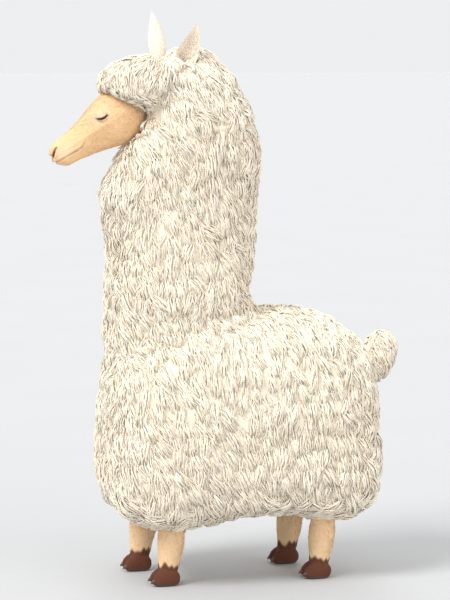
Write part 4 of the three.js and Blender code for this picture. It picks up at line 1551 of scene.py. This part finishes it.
# ---------------------------------------------------------------- short hair
# Flat hair on the face, ears, shanks and feet, in fine tufts that lie along the skin. It is finest round
# the nose and eyes, and longer along the jaw, in the ears and behind the shanks and fetlocks.
SHORT_HAIR = {  # spacing and width of the tufts, their length, what is added to it in places, and the slot
    "face": {"spacing": 0.0031, "width": 0.0015, "length": (0.0042, 0.0058, 0.0050), "slot": "face_hair"},
    "ears": {"spacing": 0.0038, "width": 0.0019, "length": (0.0085, 0.0080), "slot": "fleece"},
    "shanks": {"spacing": 0.0048, "width": 0.0023, "length": (0.0095, 0.0060, 0.0080), "slot": "shank_hair"},
    "feet": {"spacing": 0.0042, "width": 0.0020, "length": (0.0075,), "slot": "foot_hair"},
}
HAIR_LIFT = math.radians(11)  # how steeply the tufts leave the skin
FETLOCK = 0.135


def ear_frame(p):
    """For each place, how strongly it is on an ear, how far up the ear it is, and the ear's own way up."""
    share, rise, way = np.zeros(len(p)), np.zeros(len(p)), np.zeros((len(p), 3))
    for ear in EARS.values():
        axis = np.array(ear_lean(ear["side"], ear["back"], ear["out"]) @ Vector((0, 0, 1)))
        from_root = p - np.array(ear["root"])
        up = from_root @ axis
        off = np.linalg.norm(from_root - up[:, None] * axis, axis=1)
        on = (off < 0.052) & (up > 0.010) & (p[:, 0] * ear["side"] > 0)
        share, rise = np.where(on, 1.0, share), np.where(on, up / EAR_LENGTH, rise)
        way = np.where(on[:, None], axis, way)
    return share, rise, way


def short_lie(p, outward):
    """Which way the short hair lies: back along the head, up the ears and down the legs."""
    on_ear, _, ear_way = ear_frame(p)
    head_way = np.array(carried((0, 1, -0.22))) - np.array(NOSE_PLACE)
    way = np.where(head_share(p)[:, None] > 0, head_way, np.array((0, 0.12, -1.0)))
    way = np.where(on_ear[:, None] > 0, ear_way, way)
    return unit(way - outward * (way * outward).sum(1, keepdims=True))


def short_plan(part, p, outward):
    """How thickly the tufts of a part stand at each place, and how long they are."""
    level = levelled(p)
    on_leg = (p[:, 2] < SHANK_TOP + 0.02).astype(float)
    backward = ease(outward[:, 1], 0.1, 0.8)
    length = SHORT_HAIR[part]["length"]
    if part == "face":
        eye = spot(level, (EYE["x"], EYE["y"], EYE["z"]), (0.05, 0.024, 0.016))
        cover = head_share(p) * (level[:, 1] < 0.30) * (1 - ease(leather(p, outward), 0.15, 0.5))
        reach = length[0] + length[1] * ease(level[:, 1], 0.03, 0.15)
        reach = reach + length[2] * ease(-outward[:, 2], 0.3, 0.9)
        return cover * (1 - 0.6 * eye), reach * (1 - 0.5 * eye)
    if part == "ears":
        on_ear, rise, _ = ear_frame(p)
        hollow = inner_ear(p, outward)
        return on_ear, (length[0] + length[1] * hollow) * (1 - 0.35 * ease(rise, 0.6, 1.0))
    if part == "shanks":
        cover = on_leg * ease(p[:, 2], FOOT_TOP - 0.002, FOOT_TOP + 0.004)
        fetlock = gaussian(p[:, 2] - FETLOCK, 0.035)
        return cover, length[0] + length[1] * backward + length[2] * backward * fetlock
    cover = on_leg * (1 - ease(p[:, 2], FOOT_TOP, FOOT_TOP + 0.006))
    return cover * ease(p[:, 2], PAD_TOP + 0.003, PAD_TOP + 0.010), np.full(len(p), length[0])


def skin_planting():
    """Geometry Nodes that scatter short tufts over the skin, where and as its Cover, Aim and Reach say."""
    tree, given = new_tree("planted over the skin", (
        ("Skin", "Geometry"), ("Hair", "Object"), ("Spacing", "Float"), ("Width", "Float"), ("Seed", "Int"),
        ("Finish", "Material")))
    spread = tree.nodes.new("GeometryNodeDistributePointsOnFaces")
    spread.distribute_method = "POISSON"
    connect(tree, spread, {
        "Mesh": given["Skin"], "Distance Min": given["Spacing"],
        "Density Max": arithmetic(tree, "POWER", given["Spacing"], -2.0),
        "Density Factor": named(tree, "Cover", "FLOAT"), "Seed": given["Seed"]})
    kept = add(tree, "GeometryNodeStoreNamedAttribute", {
        "Geometry": spread.outputs["Points"], "Name": "Facing", "Value": spread.outputs["Normal"],
    }, data_type="FLOAT_VECTOR", domain="POINT")
    hairs = planted(tree, given, kept, named(tree, "Reach", "FLOAT"), named(tree, "Facing", "FLOAT_VECTOR"))
    # each tuft's own map, shrunk to a small patch at its root's place in the skin's unwrap
    strand = vectors(tree, "SUBTRACT", named(tree, "Strand", "FLOAT_VECTOR"), (0.5, 0.5, 0))
    patch = vectors(tree, "ADD", named(tree, UNWRAP, "FLOAT_VECTOR"),
                    vectors(tree, "MULTIPLY", strand, (PATCH,) * 3))
    mapped = add(tree, "GeometryNodeStoreNamedAttribute", {
        "Geometry": hairs, "Name": UNWRAP, "Value": patch}, data_type="FLOAT2", domain="CORNER")
    return finished(tree, given, mapped)


def short_finish():
    """Short hair: the skin's own markings, each tuft a little lighter or deeper, with a soft gloss."""
    made, tree, shader, place = new_finish("short hair")
    coat = attribute(tree, "Coat", "Color")
    tufts = noise(tree, place, 260.0, 1.0)
    hairs = noise(tree, drawn_out(tree, add(tree, "ShaderNodeUVMap", uv_map="Strand"), (9, 1.4, 1)))
    deeper = mixed(tree, 1.0, coat, (0.82, 0.74, 0.66), "MULTIPLY")
    toned = mixed(tree, ranged(tree, tufts, 0.38, 0.66, 0.28, 0.0), coat, deeper)
    connect(tree, shader, {
        "Base Color": mixed(tree, ranged(tree, hairs, 0.40, 0.65, 0.22, 0.0), toned, deeper),
        "Normal": bump(tree, hairs, 0.4, 0.0003),
        "Roughness": 0.66, "Specular IOR Level": 0.30, "Sheen Weight": 0.06, "Sheen Roughness": 0.45})
    return made


tuft = bent_hair("tuft", bend=0.85, heights=(0.0, 0.55), girths=(0.5, 0.38), thickness=0.5)
covering = skin_planting()
short_hair = short_finish()
lie = short_lie(skin_points, skin_outward)
aim = unit(lie * math.cos(HAIR_LIFT) + skin_outward * math.sin(HAIR_LIFT))
for part, plan in SHORT_HAIR.items():
    tufts = moved_copy(skin, Vector((0, 0, 0)))
    tufts.name = f"short_hair_{part}"
    cover, reach = short_plan(part, skin_points, skin_outward)
    write_attribute(tufts, "Cover", "FLOAT", cover)
    write_attribute(tufts, "Reach", "FLOAT", reach)
    write_attribute(tufts, "Aim", "FLOAT_VECTOR", aim)
    grown(tufts, covering, {
        "Hair": tuft, "Spacing": plan["spacing"], "Width": plan["width"], "Seed": SEED, "Finish": short_hair})
    for helper in ("Cover", "Reach", "Aim", "Facing", "Grain", "Leather"):
        tufts.data.attributes.remove(tufts.data.attributes[helper])
    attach(tufts, "root")
bpy.data.objects.remove(tuft)

# ---------------------------------------------------------------- floor, light and camera
# A plain pale floor that runs into a soft studio sky of the same tone, three wide soft lights, and a
# long lens at the height of the animal's chest.
VIEW_AZIMUTH, VIEW_ELEVATION = 76, 5.5
VIEW_DISTANCE = 8.2
LENS = 154.5
AIM_AT = Vector((0, -0.007, 0.884))
FLOOR_GREY = (0.508, 0.513, 0.518)
FLOOR_REACH = 200
SKY_TONE, SKY_STRENGTH = (0.98, 0.99, 1.0, 1), 0.87


def floor_finish():
    made, tree, shader, place = new_finish("floor")
    cloud = ranged(tree, noise(tree, place, 1.4, 3.0), 0.3, 0.7, 0, 1)
    connect(tree, shader, {
        "Base Color": mixed(tree, cloud, FLOOR_GREY, [0.98 * c for c in FLOOR_GREY]), "Roughness": 0.9})
    return made


def direction(azimuth, elevation):
    """The way out from the animal: azimuth 0 is ahead of it and 90 on its left."""
    a, e = math.radians(azimuth), math.radians(elevation)
    return Vector((math.sin(a) * math.cos(e), -math.cos(a) * math.cos(e), math.sin(e)))


def soft_light(name, azimuth, elevation, spread, power):
    """A light as even as daylight, as wide across as the spread in degrees, from a direction."""
    lamp = bpy.data.lights.new(name, "SUN")
    lamp.angle = math.radians(spread)
    lamp.energy = power
    light = bpy.data.objects.new(name, lamp)
    light.rotation_euler = (-direction(azimuth, elevation)).to_track_quat("-Z", "Y").to_euler()
    bpy.context.scene.collection.objects.link(light)


floor_corners = [(x * FLOOR_REACH, y * FLOOR_REACH, 0) for x, y in ((-1, -1), (1, -1), (1, 1), (-1, 1))]
floor = mesh_piece("floor", floor_corners, [(0, 1, 2, 3)], False)
floor.data.materials.append(floor_finish())

soft_light("key", azimuth=28, elevation=46, spread=24, power=2.30)
soft_light("fill", azimuth=118, elevation=22, spread=60, power=0.92)
soft_light("rim", azimuth=262, elevation=40, spread=30, power=0.67)
sky = bpy.data.worlds.new("sky")
sky.use_nodes = True
sky.node_tree.nodes["Background"].inputs["Color"].default_value = SKY_TONE
sky.node_tree.nodes["Background"].inputs["Strength"].default_value = SKY_STRENGTH
bpy.context.scene.world = sky
bpy.context.scene.view_settings.view_transform = "Standard"

camera = bpy.data.objects.new("camera", bpy.data.cameras.new("camera"))
bpy.context.scene.collection.objects.link(camera)
away = direction(VIEW_AZIMUTH, VIEW_ELEVATION)
camera.location = AIM_AT + away * VIEW_DISTANCE
camera.rotation_euler = (-away).to_track_quat("-Z", "Y").to_euler()
camera.data.lens = LENS
camera.data.clip_end = 500
bpy.context.scene.camera = camera
